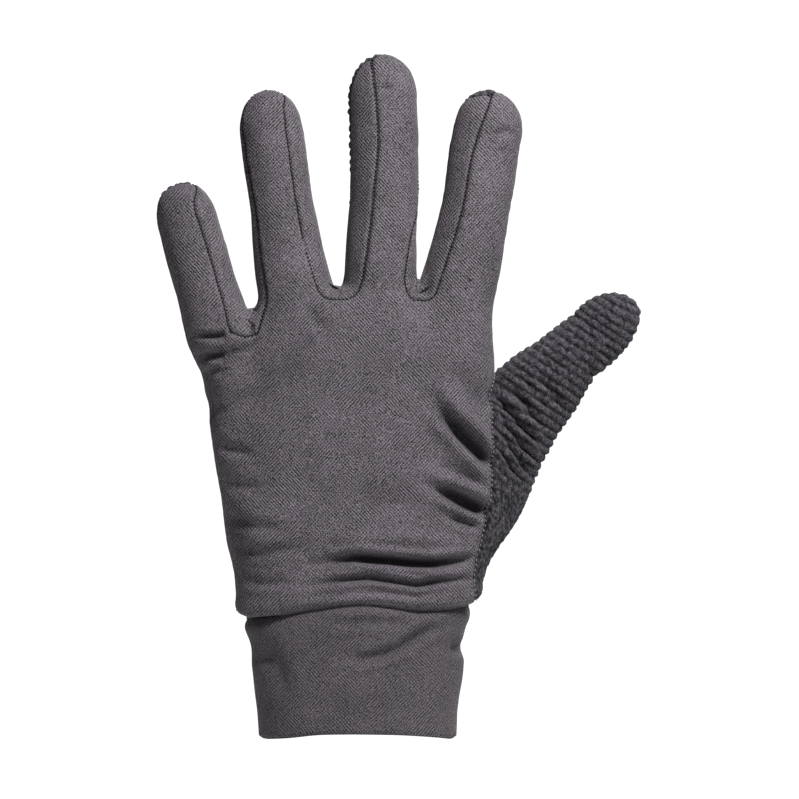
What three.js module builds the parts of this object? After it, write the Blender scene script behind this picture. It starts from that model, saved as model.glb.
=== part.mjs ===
import * as THREE from "three";
import { mergeVertices } from "three/addons/utils/BufferGeometryUtils.js";

// A left-hand fleece glove in its worn shape, fingers up, the back of the hand facing -Y.
// Millimetres, +Z up, origin in the middle of the wrist opening.
// The glove is cut and sewn: a smooth knit back, a ribbed palm and thumb, three side strips
// between the fingers and a doubled wrist cuff, each a wall of cloth with its own thickness.

// Driving dimensions
const CLOTH = 1.6; // wall of the smooth knit and of the ribbed fleece between its ribs
const CUFF_CLOTH = 2.4; // the cuff's cloth is doubled
const SEAM_GAP = 0.3; // clearance between neighbouring pieces, outside
const INNER_GAP = 1.1; // and inside
const RIB_PITCH = 2.9;
const RIB_HEIGHT = 0.7;
const WRIST_TUCK = 0.4; // how far the hand's cloth dives in at the wrist seam
const TUCK_REACH = 3; // distance over which it dives
const CUFF_TOP = 45;
const CUFF_LAP = 1.2; // the cuff goes on up behind the hand's edge by this much
const CUFF_TUCK = 2.4; // and lies this much deeper there
const HEM_TUCK = 0.5;
const FINGER_BLEND = 4; // rounding where fingers meet
const THUMB_BLEND = 7; // rounding where the thumb leaves the hand, at its base
const CROTCH_BLEND = 1.6; // and in its crotch
const CROTCH_HEIGHT = 127;
const THUMB_BLEND_FROM = 95; // height above which that rounding gets smaller
const EDGE_INSET = 12; // how far inside the outline the rays of the hand's edges start
const START_DEPTH = 5; // how far below the surface two rays are when they are mixed
const HIDDEN_ANGLE = -15; // an outer edge seam lies this far round to the palm side
const TURN_SHARE = 0.2; // share of the hand's width over which its rays turn to the edges
const SPREAD_DOWN = 0.6; // share of the hand's height over which its columns become even
const WRIST_LEFT = -41; // ends of the wrist seam's back and palm, across the hand
const WRIST_RIGHT = 39;

// The body under the cloth is a union of limbs. A limb has an axis in the XZ plane, leaning by
// tilt degrees to +X, and sections across it: along is measured on the axis, across to the
// right of it, halfWidth and halfDepth are the section's half sizes, and back is its Y.
// roundness and cap.roundness are exponents: 2 makes an ellipse, more makes it squarer. A cap
// with a shift leans to the right by that much at its top.
const SECTION = ["along", "across", "halfWidth", "back", "halfDepth"];
const LIMBS = {
  hand: {
    foot: [0, 0],
    tilt: 0,
    roundness: 2.5,
    cap: { from: 126, length: 30, roundness: 3 },
    sections: [
      [36, -1.5, 39.5, 0, 21.5],
      [44, -1.2, 41.2, 0, 20.5],
      [50, -0.6, 42.6, 0, 19.5],
      [58, 0.0, 44.0, 0, 18.2],
      [68, -0.2, 46.2, 0, 17.2],
      [82, -0.9, 47.3, 0, 16.4],
      [97, -1.9, 48.8, 0, 15.8],
      [111, -2.8, 49.2, 0, 15.0],
      [120, -1.5, 47.3, 0, 14.4],
      [128, 1.0, 45.0, 0, 13.8],
    ],
  },
  little: {
    foot: [-46.9, 135.1],
    tilt: -16,
    roundness: 2,
    cap: { from: 44.5, length: 16, roundness: 2.5 },
    sections: [
      [-26, -1.5, 9.0, 0, 8.0],
      [-14, -1.2, 11.0, 0, 10.4],
      [-4, -0.4, 11.6, 0, 10.2],
      [6, -0.8, 11.5, 0.1, 9.8],
      [14, -0.5, 11.4, 0.5, 9.5],
      [24, -0.8, 11.0, 1.2, 9.3],
      [36, -0.7, 10.8, 2.2, 9.2],
      [46, -0.7, 10.6, 3.0, 9.0],
    ],
  },
  ring: {
    foot: [-21.0, 145.6],
    tilt: -7,
    roundness: 2,
    cap: { from: 66, length: 15.3, roundness: 2.4 },
    sections: [
      [-30, 0.0, 11.0, 0, 9.0],
      [-10, -0.4, 13.4, 0, 11.2],
      [4, -0.5, 13.2, 0, 10.8],
      [14, -0.6, 13.0, 0.2, 10.3],
      [24, -1.2, 12.3, 0.8, 10.0],
      [40, -1.5, 11.2, 1.8, 9.8],
      [56, -1.9, 11.2, 3.0, 9.7],
      [68, -2.0, 11.0, 4.0, 9.5],
    ],
  },
  middle: {
    foot: [6.3, 145.6],
    tilt: 1.5,
    roundness: 2,
    cap: { from: 78, length: 15.4, roundness: 2.4 },
    sections: [
      [-30, 0.0, 11.0, 0, 9.4],
      [-10, 0.2, 13.0, 0, 11.4],
      [4, 0.3, 12.9, 0, 11.0],
      [12, 0.4, 12.5, 0.2, 10.7],
      [28, 0.5, 12.3, 0.8, 10.4],
      [44, 1.0, 11.9, 1.8, 10.2],
      [60, 0.8, 11.9, 3.0, 10.0],
      [80, -0.4, 11.7, 4.6, 9.8],
    ],
  },
  index: {
    foot: [33.2, 149.1],
    tilt: 10,
    roundness: 2,
    cap: { from: 63, length: 15, roundness: 2.5 },
    sections: [
      [-34, 4.0, 12.0, 0, 10.0],
      [-22, 3.0, 13.4, 0, 12.0],
      [-10, 1.2, 13.4, 0, 11.6],
      [2, 0.0, 13.1, 0, 11.0],
      [14, 0.1, 13.0, 0.2, 10.7],
      [24, 0.4, 12.4, 0.6, 10.4],
      [38, 0.9, 11.7, 1.4, 10.2],
      [52, 0.6, 12.2, 2.4, 10.2],
      [64, 0.5, 12.0, 3.4, 10.0],
    ],
  },
  thumb: {
    foot: [21.0, 40.6],
    tilt: 34,
    roundness: 2,
    cap: { from: 119, length: 16.2, roundness: 2.2, shift: 2.6 },
    sections: [
      [6, 1.0, 11.0, 1, 10.0],
      [16, -0.6, 14.0, 2, 13.0],
      [32, -6.2, 15.8, 4, 15.0],
      [48, -8.9, 18.1, 6, 16.0],
      [64, -11.4, 17.6, 7, 15.4],
      [76, -12.2, 16.6, 7, 14.0],
      [88, -11.0, 15.4, 7, 12.6],
      [96, -10.0, 14.1, 7, 12.0],
      [104, -8.8, 12.0, 7, 11.2],
      [112, -6.6, 11.7, 7.5, 10.6],
      [122, -4.1, 10.8, 8, 10.0],
    ],
  },
  cuff: {
    foot: [0, 0],
    tilt: 0,
    roundness: 2.2,
    cap: { from: 60, length: 20, roundness: 2 },
    sections: [
      [-6, -0.8, 34.6, 0, 24.4],
      [8, -1.0, 34.9, 0, 24.0],
      [18, -0.8, 36.2, 0, 23.4],
      [26, -0.9, 37.0, 0, 22.6],
      [32, -1.4, 36.9, 0, 21.8],
      [38, -1.7, 38.6, 0, 21.2],
      [41, -1.2, 39.4, 0, 20.9],
      [46, -1.1, 40.8, 0, 20.2],
    ],
  },
};

// Seams along each finger, by angle round it: 0 is the finger's right, 90 the back of the
// hand, 180 its left and 270 the palm. up runs from 0 at the web to 1 at the tip. A side
// strip lies between the front and the rear seam, and ends where the two angles meet.
const SEAM = ["up", "frontLeft", "frontRight", "rearLeft", "rearRight"];
const FINGERS = {
  little: {
    webLeft: 2,
    webRight: 13,
    seams: [
      [0, 195, 66, 195, -42],
      [0.25, 195, 62, 195, -24],
      [0.45, 195, 61, 195, -16],
      [0.72, 195, 63, 195, -12],
      [0.86, 190, 58, 190, -10],
      [0.93, 184, 14, 184, -8],
      [1, 180, 0, 180, 0],
    ],
  },
  ring: {
    webLeft: 8,
    webRight: 16,
    seams: [
      [0, 146, 48, 226, -34],
      [0.25, 148, 55, 228, -26],
      [0.6, 156, 57, 228, -20],
      [0.86, 163, 50, 214, -14],
      [0.93, 172, 16, 190, -8],
      [1, 180, 0, 180, 0],
    ],
  },
  middle: {
    webLeft: 16,
    webRight: 17,
    seams: [
      [0, 123, 42, 214, -40],
      [0.18, 114, 27, 198, -52],
      [0.34, 111, 2, 194, -66],
      [0.6, 103, -7, 186, -72],
      [0.86, 120, -8, 184, -60],
      [0.93, 160, -6, 184, -24],
      [1, 180, 0, 180, 0],
    ],
  },
  index: {
    webLeft: 11,
    webRight: 3,
    seams: [
      [0, 128, -15, 218, -15],
      [0.3, 116, -15, 200, -15],
      [0.6, 114, -15, 194, -15],
      [0.86, 108, -12, 188, -12],
      [0.93, 156, -6, 184, -6],
      [1, 180, 0, 180, 0],
    ],
  },
};
const STRIP_END = 0.93; // a side strip's last row
const WEB_ROUNDNESS = 1.6; // 1 would make each web a V, more makes it a U
const WEBS = [
  { left: "little", right: "ring", under: [-34.6, 132], front: 46, rear: 40 },
  { left: "ring", right: "middle", under: [-7.4, 144], front: 46, rear: 40 },
  { left: "middle", right: "index", under: [19.4, 145], front: 46, rear: 40 },
];

// The seams of the back and of the palm with the thumb's piece, from the thumb's crotch to the
// wrist. height names a place on it, start is where a ray leaves the middle of the hand, and
// toward is the way that it runs to the cloth.
const SEAM_KEY = ["height", "startX", "startY", "startZ", "towardX", "towardY", "towardZ"];
const CROTCH_KEY = [CROTCH_HEIGHT, 42.1, 4, 118.1, 0.42, 0, 0.91];
const FRONT_THUMB_SEAM = [
  CROTCH_KEY,
  [121, 40, 0, 118, 0.5, -0.9, 0.25],
  [114, 45, 0, 114, 0.1, -1, 0],
  [106, 46.2, 0, 106, 0, -1, 0],
  [95, 46.4, 0, 95, 0, -1, 0],
  [80, 44.8, 0, 80, 0, -1, 0],
  [68, 42.2, 0, 68, 0, -1, 0],
  [57, 39.8, 0, 57, 0, -1, 0],
  [44, 38.0, 0, 44, 0.2, -1, 0],
];
const REAR_THUMB_SEAM = [
  CROTCH_KEY,
  [121, 38, 6, 116, 0.5, 0.9, 0.3],
  [112, 36, 6, 112, 0, 1, 0],
  [100, 30, 6, 100, 0, 1, 0],
  [85, 25, 6, 85, 0, 1, 0],
  [70, 25, 6, 70, 0, 1, 0],
  [57, 30, 4, 57, 0, 1, 0],
  [44, 34, 0, 44, 0.35, 1, 0],
];
// Height of the wrist seam by its place across the hand, on the back and on the palm.
const WRIST_KEY = ["across", "height"];
const WRIST_FRONT = [
  [-42, 41.2],
  [-37, 40.6],
  [-24, 43.4],
  [-11, 45.2],
  [1, 46.2],
  [14, 45.2],
  [22, 44.4],
  [37, 45.2],
  [42, 45.2],
];
const WRIST_REAR = [
  [-42, 41.2],
  [-20, 42.0],
  [10, 43.2],
  [30, 44.8],
  [39, 45.2],
  [42, 45.2],
];
// Height of the cuff's lower edge, by its place across: it arches up in the middle.
const HEM = [
  [-36, -0.5],
  [-24, 0.3],
  [-11, 1.7],
  [8, 1.7],
  [22, 0.8],
  [36, -0.5],
];

// Folds of the back: a crease runs straight from one point to another, half as wide as width
// on each side, and sinks by depth. A negative depth is a ridge.
const FOLD = ["fromX", "fromZ", "toX", "toZ", "width", "depth"];
const BACK_FOLDS = [
  [-14, 63.5, 14, 65.2, 6, 1.8],
  [10, 65.2, 42, 64.0, 6.5, 2.2],
  [-16, 56.5, 10, 59.4, 5, 1.1],
  [8, 59.4, 42, 57.0, 5, 1.2],
  [-12, 69.5, 40, 71.0, 7, -1.0],
  [30, 95.5, 48, 82.0, 9, 1.6],
  [24, 82.0, 45, 72.5, 8, 1.4],
  [32, 104, 48, 91, 8, -0.9],
  [-56, 128.0, -34, 137.5, 6, 1.3],
  [-52, 115, -16, 132.0, 9, 1.0],
  [-54, 133.5, -38, 139, 5, -0.8],
];
const CUFF_FOLDS = [
  [4, 27, 24, 31, 6, 0.9],
  [22, 31, 38, 39, 6, 1.0],
  [-10, 36, 14, 38, 8, 0.6],
];
const THUMB_FOLDS = [
  [48, 121, 58, 108, 5, 1.2],
  [50, 108, 62, 96, 5, 1.4],
  [47, 101, 58, 88, 6, 1.0],
  [80, 121, 88, 132, 5, 1.2],
];

// Cloth and fleece colours
const SMOOTH_KNIT = { color: 0x4b474c, roughness: 0.85, metalness: 0 };
const RIBBED_FLEECE = { color: 0x35333a, roughness: 0.95, metalness: 0 };
const SIDE_KNIT = { color: 0x5a565b, roughness: 0.85, metalness: 0 };
const CUFF_KNIT = { color: 0x4f4b50, roughness: 0.85, metalness: 0 };

// Mesh density: columns round each piece and the largest step along it
const BACK_COLUMNS = 5;
const PALM_COLUMNS = 3;
const STRIP_COLUMNS = 3;
const WEB_COLUMNS = 4;
const THUMB_COLUMNS = 13;
const CUFF_COLUMNS = 34;
const CUFF_ROWS = [0, 0.028, 0.07, 0.12, 0.2, 0.32, 0.44, 0.56, 0.7, 0.86, 0.97, 1];
const FINGER_ROWS = 8;
const TIP_ROWS = 4;
const THUMB_TIP_ROWS = 14;
const INNER_STEP = 3; // the inside of the ribbed thumb and of the cuff takes every third row
const TIP_SHARE = 0.28; // share of a finger's length that its rounded tip takes
const UP_TURN = 0.6; // above the crotch the hand's rays turn early, then slower
const SAME_POINT = 0.002; // points nearer than this are one
const FARTHEST = 90; // longest ray
const HALVINGS = 14; // steps that close in on the surface
const TINY = 1e-6;

const radians = (degrees) => (degrees * Math.PI) / 180;
const clamp = (x, low, high) => Math.min(Math.max(x, low), high);
const mix = (a, b, t) => a + (b - a) * t;
const smoothstep = (t) => {
  const c = clamp(t, 0, 1);
  return c * c * (3 - 2 * c);
};

// A row of a table as an object, its first column at key, with smooth values between rows.
function tableAt(rows, names, key) {
  const up = rows[rows.length - 1][0] > rows[0][0];
  const ordered = up ? rows : [...rows].reverse();
  const last = ordered.length - 1;
  const k = clamp(key, ordered[0][0], ordered[last][0]);
  let i = 0;
  while (i < last - 1 && ordered[i + 1][0] < k) i += 1;
  const [p, q] = [ordered[i], ordered[i + 1]];
  const before = ordered[Math.max(i - 1, 0)];
  const after = ordered[Math.min(i + 2, last)];
  const span = q[0] - p[0];
  const t = (k - p[0]) / span;
  const ease = t * t * (3 - 2 * t);
  const leaving = t * (1 - t) ** 2;
  const arriving = t * t * (t - 1);
  const found = { [names[0]]: k };
  for (let n = 1; n < names.length; n += 1) {
    const slopeIn = ((q[n] - before[n]) / (q[0] - before[0])) * span;
    const slopeOut = ((after[n] - p[n]) / (after[0] - p[0])) * span;
    found[names[n]] = mix(p[n], q[n], ease) + leaving * slopeIn + arriving * slopeOut;
  }
  return found;
}

// Where a point lies by a limb's axis, with the limb's section there.
function placeOnLimb(limb, point) {
  const lean = radians(limb.tilt);
  const dx = point.x - limb.foot[0];
  const dz = point.z - limb.foot[1];
  const along = dx * Math.sin(lean) + dz * Math.cos(lean);
  const section = tableAt(limb.sections, SECTION, Math.min(along, limb.cap.from));
  const past = Math.max((along - limb.cap.from) / limb.cap.length, 0);
  const middle = section.across + (limb.cap.shift ?? 0) * past ** 2;
  const across = dx * Math.cos(lean) - dz * Math.sin(lean) - middle;
  return { along, across, behind: point.y - section.back, section };
}

// Distance from a point to one limb's surface, negative inside, near enough close to it.
function limbDistance(limb, point) {
  const { along, across, behind, section } = placeOnLimb(limb, point);
  const past = Math.max(along - limb.cap.from, limb.sections[0][0] - along, 0) / limb.cap.length;
  const [wide, deep] = [Math.abs(across) / section.halfWidth, Math.abs(behind) / section.halfDepth];
  const n = limb.roundness;
  const m = limb.cap.roundness;
  const ring = Math.max((wide ** n + deep ** n) ** (1 / n), TINY);
  const size = (ring ** m + past ** m) ** (1 / m);
  const slope = Math.hypot(
    (ring / size) ** (m - 1) * ((wide / ring) ** (n - 1) / section.halfWidth),
    (ring / size) ** (m - 1) * ((deep / ring) ** (n - 1) / section.halfDepth),
    (past / size) ** (m - 1) / limb.cap.length,
  );
  return (size - 1) / Math.max(slope, TINY);
}

// The smaller of two distances, rounded where they are nearly equal.
function blend(a, b, radius) {
  const h = Math.max(radius - Math.abs(a - b), 0) / radius;
  return Math.min(a, b) - (h * h * radius) / 4;
}

function handBody(point) {
  let distance = limbDistance(LIMBS.hand, point);
  for (const name of Object.keys(FINGERS)) {
    distance = blend(distance, limbDistance(LIMBS[name], point), FINGER_BLEND);
  }
  const up = smoothstep((point.z - THUMB_BLEND_FROM) / (CROTCH_HEIGHT - THUMB_BLEND_FROM));
  return blend(distance, limbDistance(LIMBS.thumb, point), mix(THUMB_BLEND, CROTCH_BLEND, up));
}

function cuffBody(point) {
  return limbDistance(LIMBS.cuff, point);
}

// A ray runs from inside the body outwards. Every point of the cloth lies on one.
class Ray {
  constructor(start, toward) {
    this.start = start;
    this.toward = toward.clone().normalize();
  }

  mixedWith(other, t, turn = t) {
    return new Ray(this.start.clone().lerp(other.start, t), this.toward.clone().lerp(other.toward, turn));
  }

  at(distance) {
    return this.start.clone().addScaledVector(this.toward, distance);
  }

  // The same ray, started not far below the body's surface.
  nearSurface(body) {
    return new Ray(this.pierce(body, START_DEPTH), this.toward);
  }

  // Where the ray leaves the body, inset below its surface.
  pierce(body, inset) {
    const step = 1;
    let inside = 0;
    let outside = step;
    while (body(this.at(outside)) < -inset && outside < FARTHEST) {
      inside = outside;
      outside += step;
    }
    for (let i = 0; i < HALVINGS; i += 1) {
      const middle = (inside + outside) / 2;
      if (body(this.at(middle)) < -inset) inside = middle;
      else outside = middle;
    }
    return this.at((inside + outside) / 2);
  }
}

// A ray from a limb's axis, at an angle round it, lifted towards its tip.
function limbRay(limb, along, angle, lift = 0) {
  const lean = radians(limb.tilt);
  const up = new THREE.Vector3(Math.sin(lean), 0, Math.cos(lean));
  const right = new THREE.Vector3(Math.cos(lean), 0, -Math.sin(lean));
  const section = tableAt(limb.sections, SECTION, along);
  const start = new THREE.Vector3(limb.foot[0], section.back, limb.foot[1])
    .addScaledVector(up, along)
    .addScaledVector(right, section.across);
  const round = right.multiplyScalar(Math.cos(radians(angle)));
  round.y = -Math.sin(radians(angle));
  const toward = round.multiplyScalar(Math.cos(radians(lift))).addScaledVector(up, Math.sin(radians(lift)));
  return new Ray(start, toward);
}

// Places along a finger from web (0) to tip (1), the same for each piece that covers it.
function fingerStations() {
  const stations = [];
  for (let i = 0; i < FINGER_ROWS; i += 1) stations.push(((1 - TIP_SHARE) * i) / FINGER_ROWS);
  for (let i = 0; i <= TIP_ROWS; i += 1) stations.push(1 - TIP_SHARE + (TIP_SHARE * i) / TIP_ROWS);
  return stations;
}

function fingerRay(name, up, angle) {
  const limb = LIMBS[name];
  const finger = FINGERS[name];
  const foot = mix(finger.webLeft, finger.webRight, 0.5 + 0.5 * Math.cos(radians(angle)));
  if (up <= 1 - TIP_SHARE) {
    return limbRay(limb, mix(foot, limb.cap.from, up / (1 - TIP_SHARE)), angle);
  }
  return limbRay(limb, limb.cap.from, angle, 90 * Math.min((up - 1) / TIP_SHARE + 1, 1));
}

function seamsOf(name, up) {
  return tableAt(FINGERS[name].seams, SEAM, up);
}

function seamRay(keys, height) {
  const k = tableAt(keys, SEAM_KEY, height);
  return new Ray(
    new THREE.Vector3(k.startX, k.startY, k.startZ),
    new THREE.Vector3(k.towardX, k.towardY, k.towardZ),
  );
}

// Rows of the hand, as shares of the way from the webs to the thumb's crotch and from there to
// the wrist. The back and the palm have the same ones, so that their seams run alike; they are
// close where the back is creased above the wrist.
const ROWS_ABOVE = [0.17, 0.34, 0.51, 0.67, 0.83];
const ROWS_BELOW = [0, 0.06, 0.13, 0.2, 0.28, 0.36, 0.44, 0.52, 0.59];
for (let share = 0.64; share < 0.95; share += 0.03) ROWS_BELOW.push(share);
ROWS_BELOW.push(0.97, 1);

// A ray on the straight stretch of a thumb seam between two of those rows.
function chordRay(keys, height) {
  const bottom = wristHeight(WRIST_RIGHT, "front");
  const share = (CROTCH_HEIGHT - height) / (CROTCH_HEIGHT - bottom);
  const next = clamp(ROWS_BELOW.findIndex((row) => row > share), 1, ROWS_BELOW.length - 1);
  const ends = [ROWS_BELOW[next - 1], ROWS_BELOW[next]];
  if (share <= 0 || share >= 1) return seamRay(keys, clamp(height, bottom, CROTCH_HEIGHT));
  const seamAt = (row) => seamRay(keys, mix(CROTCH_HEIGHT, bottom, row)).nearSurface(handBody);
  const [from, to] = ends.map(seamAt);
  return from.mixedWith(to, (share - ends[0]) / (ends[1] - ends[0]));
}

// A ray of the web between two fingers: around runs from the left finger (0) over the web's
// floor (0.5) to the right one (1), and share from the front seam to the rear one.
function webRay(web, around, share) {
  const [left, right] = [seamsOf(web.left, 0), seamsOf(web.right, 0)];
  const from = fingerRay(web.left, 0, mix(left.frontRight, left.rearRight, share));
  const to = fingerRay(web.right, 0, mix(right.frontLeft, right.rearLeft, share));
  const rise = radians(mix(web.front, -web.rear, share));
  const lean = radians(mix(LIMBS[web.left].tilt, LIMBS[web.right].tilt, 0.5));
  const toward = new THREE.Vector3(
    Math.sin(lean) * Math.cos(rise),
    -Math.sin(rise),
    Math.cos(lean) * Math.cos(rise),
  );
  const floor = new Ray(new THREE.Vector3(web.under[0], 0, web.under[1]), toward).nearSurface(handBody);
  const side = (around < 0.5 ? from : to).nearSurface(handBody);
  return floor.mixedWith(side, Math.abs(2 * around - 1) ** WEB_ROUNDNESS);
}

// Depth of the folds at a point: each one fades with the distance from its line.
function foldDepth(folds, point) {
  let depth = 0;
  for (const row of folds) {
    const fold = Object.fromEntries(FOLD.map((name, i) => [name, row[i]]));
    const dx = fold.toX - fold.fromX;
    const dz = fold.toZ - fold.fromZ;
    const along = ((point.x - fold.fromX) * dx + (point.z - fold.fromZ) * dz) / (dx * dx + dz * dz);
    const near = clamp(along, 0, 1);
    const away = Math.hypot(point.x - fold.fromX - near * dx, point.z - fold.fromZ - near * dz);
    depth += fold.depth * (1 - smoothstep(away / fold.width));
  }
  return depth;
}

// A piece of cloth: lattices of rays, each with the depth that it sinks at a point, become an
// outer and an inner face joined by a rim. A lattice's coarse rows alone make the inner face.
class ClothPiece {
  constructor(body, thickness) {
    this.body = body;
    this.thickness = thickness;
    this.points = [];
    this.index = new Map();
    this.inner = new Map();
    this.outerFaces = [];
    this.innerFaces = [];
  }

  vertex(point, side) {
    const key = side + [point.x, point.y, point.z].map((v) => Math.round(v / SAME_POINT)).join(",");
    if (!this.index.has(key)) {
      this.index.set(key, this.points.length);
      this.points.push(point);
    }
    return this.index.get(key);
  }

  // rays[row][column], seen from outside with rows going down and columns to the right.
  lattice(rays, { sink = () => 0, rib = () => 0, coarse = () => true } = {}) {
    const last = rays.length - 1;
    const outer = rays.map((row, r) => row.map((ray) => this.outside(ray, sink, rib(r))));
    const kept = rays.map((_, r) => r).filter((r) => r === 0 || r === last || coarse(r));
    const inner = new Map(kept.map((r) => [r, rays[r].map((ray) => this.inside(ray, sink))]));
    for (let r = 0; r <= last; r += 1) {
      const below = kept.filter((k) => k <= r).pop();
      for (let c = 0; c < rays[r].length; c += 1) {
        if (!this.inner.has(outer[r][c])) this.inner.set(outer[r][c], inner.get(below)[c]);
        if (kept.includes(r)) this.inner.set(outer[r][c], inner.get(r)[c]);
      }
    }
    for (let r = 0; r < last; r += 1) this.strip(outer[r], outer[r + 1], this.outerFaces, false);
    for (let i = 0; i + 1 < kept.length; i += 1) {
      this.strip(inner.get(kept[i]), inner.get(kept[i + 1]), this.innerFaces, true);
    }
  }

  outside(ray, sink, rib) {
    const rough = ray.pierce(this.body, 0);
    return this.vertex(ray.pierce(this.body, sink(rough) - rib), "outer");
  }

  inside(ray, sink) {
    const rough = ray.pierce(this.body, 0);
    return this.vertex(ray.pierce(this.body, sink(rough) + this.thickness), "inner");
  }

  // Two triangles in each cell between two rows, along its shorter diagonal.
  strip(upper, lower, faces, reversed) {
    const apart = (p, q) => this.points[p].distanceToSquared(this.points[q]);
    for (let c = 0; c + 1 < upper.length; c += 1) {
      const [a, b, d, e] = [upper[c], upper[c + 1], lower[c], lower[c + 1]];
      const pair = apart(a, e) < apart(b, d) ? [[a, d, e], [a, e, b]] : [[a, d, b], [b, d, e]];
      for (const [p, q, s] of pair) {
        if (p === q || q === s || s === p) continue;
        faces.push(reversed ? [p, s, q] : [p, q, s]);
      }
    }
  }

  // Edges that only one outer face has, each in that face's direction.
  openEdges() {
    const edges = new Map();
    for (const face of this.outerFaces) {
      for (let i = 0; i < 3; i += 1) {
        const [a, b] = [face[i], face[(i + 1) % 3]];
        if (edges.has(`${b},${a}`)) edges.delete(`${b},${a}`);
        else edges.set(`${a},${b}`, { a, b, face });
      }
    }
    return [...edges.values()];
  }

  // Draws every edge back by half of the seam gap, and more inside, so that neighbours don't touch.
  drawBack(edges) {
    const moves = new Map();
    for (const { a, b, face } of edges) {
      const [p, q, s] = face.map((i) => this.points[i]);
      const normal = q.clone().sub(p).cross(s.clone().sub(p)).normalize();
      const inward = normal.cross(this.points[b].clone().sub(this.points[a])).normalize();
      for (const v of [a, b]) {
        if (!moves.has(v)) moves.set(v, new THREE.Vector3());
        moves.get(v).add(inward);
      }
    }
    const innerMoves = new Map();
    for (const [v, move] of moves) {
      move.normalize();
      innerMoves.set(this.inner.get(v), move.clone().multiplyScalar(INNER_GAP / 2));
      move.multiplyScalar(SEAM_GAP / 2);
    }
    for (const [v, move] of [...moves, ...innerMoves]) this.points[v].add(move);
  }

  geometry() {
    const edges = this.openEdges();
    this.drawBack(edges);
    const rim = [];
    for (const { a, b } of edges) {
      const [innerA, innerB] = [this.inner.get(a), this.inner.get(b)];
      rim.push([b, a, innerA]);
      if (innerA !== innerB) rim.push([b, innerA, innerB]);
    }
    const faces = [...this.outerFaces, ...this.innerFaces, ...rim];
    const positions = this.points.flatMap((p) => [p.x, p.y, p.z]);
    const made = new THREE.BufferGeometry();
    made.setAttribute("position", new THREE.Float32BufferAttribute(positions, 3));
    made.setIndex(faces.flat());
    return mergeVertices(made, SAME_POINT / 2);
  }
}

function mesh(name, geometry, finish) {
  geometry.computeVertexNormals();
  const made = new THREE.Mesh(geometry, new THREE.MeshStandardMaterial(finish));
  made.name = name;
  return made;
}

// Rays of a finger's back or palm between its two seams, from the tip down to the web.
function fingerLattice(name, side, columns) {
  const rows = [];
  for (const up of fingerStations()) {
    const seams = seamsOf(name, up);
    const front = [seams.frontLeft, seams.frontRight];
    const [from, to] = side === "front" ? front : [seams.rearRight, seams.rearLeft - 360];
    const row = [];
    for (let c = 0; c <= columns; c += 1) row.push(fingerRay(name, up, mix(from, to, c / columns)));
    rows.unshift(row);
  }
  return rows;
}

// The top row of the back or palm: the four fingers' feet and the edges of the webs between.
function topRow(side, columns) {
  const feet = Object.keys(FINGERS).map((name) => {
    const row = fingerLattice(name, side, columns).pop();
    return side === "front" ? row : row.reverse();
  });
  const row = [...feet[0]];
  const seam = side === "front" ? 0 : 1;
  WEBS.forEach((web, i) => {
    for (let w = 1; w < WEB_COLUMNS; w += 1) row.push(webRay(web, w / WEB_COLUMNS, seam));
    row.push(...feet[i + 1]);
  });
  return row;
}

function wristHeight(x, side) {
  return tableAt(side === "front" ? WRIST_FRONT : WRIST_REAR, WRIST_KEY, x).height;
}

// A ray across the hand at a height, share of the way from its left edge to its right seam.
function handRay(side, height, share) {
  const section = tableAt(LIMBS.hand.sections, SECTION, height);
  const edge = section.across - section.halfWidth;
  const right = seamRay(side === "front" ? FRONT_THUMB_SEAM : REAR_THUMB_SEAM, height);
  const rightEdge = right.start.x + EDGE_INSET * Math.max(right.toward.x, 0);
  const out = side === "front" ? -1 : 1;
  const left = new Ray(
    new THREE.Vector3(edge + EDGE_INSET, 0, height),
    new THREE.Vector3(-1, -Math.sin(radians(HIDDEN_ANGLE)), 0),
  );
  const x = mix(edge, rightEdge, share);
  const straight = new Ray(new THREE.Vector3(x, 0, height), new THREE.Vector3(0, out, 0));
  const toLeft = clamp(1 - share / TURN_SHARE, 0, 1);
  const toRight = clamp(1 - (1 - share) / TURN_SHARE, 0, 1);
  return straight.mixedWith(left, toLeft).mixedWith(right, toRight);
}

// The hand from its top row down to the wrist. The row through the thumb's crotch has straight
// rays; above it they turn by degrees into those of the fingers' feet, and below it the columns
// spread out evenly.
function palmLattice(side, columns) {
  const top = topRow(side, columns);
  const hits = top.map((ray) => ray.pierce(handBody, 0));
  const last = top.length - 1;
  const [leftX, rightX] = [hits[0].x, hits[last].x];
  const shares = hits.map((hit) => (hit.x - leftX) / (rightX - leftX));
  const feet = top.map((_, c) => wristHeight(mix(WRIST_LEFT, WRIST_RIGHT, c / last), side));
  const crotch = (hits[last].z - CROTCH_HEIGHT) / (hits[last].z - feet[last]);
  const straightRay = (c, down) => {
    const spread = smoothstep(down / SPREAD_DOWN);
    return handRay(side, mix(hits[c].z, feet[c], down), mix(shares[c], c / last, spread));
  };
  const near = top.map((ray) => ray.nearSurface(handBody));
  const middle = top.map((_, c) => straightRay(c, crotch).nearSurface(handBody));
  const above = ROWS_ABOVE.map((share) =>
    near.map((ray, c) => ray.mixedWith(middle[c], share, share ** UP_TURN)),
  );
  const below = ROWS_BELOW.map((share) => top.map((_, c) => straightRay(c, mix(crotch, 1, share))));
  const rows = [top, ...above, ...below];
  return side === "front" ? rows : rows.map((row) => [...row].reverse());
}

// How far a point lies above the wrist seam.
function aboveWrist(point) {
  return point.z - wristHeight(point.x, point.y < 0 ? "front" : "rear");
}

// How far the hand's cloth dives at the wrist seam.
function wristTuck(point) {
  return WRIST_TUCK * (1 - smoothstep(aboveWrist(point) / TUCK_REACH));
}

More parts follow.
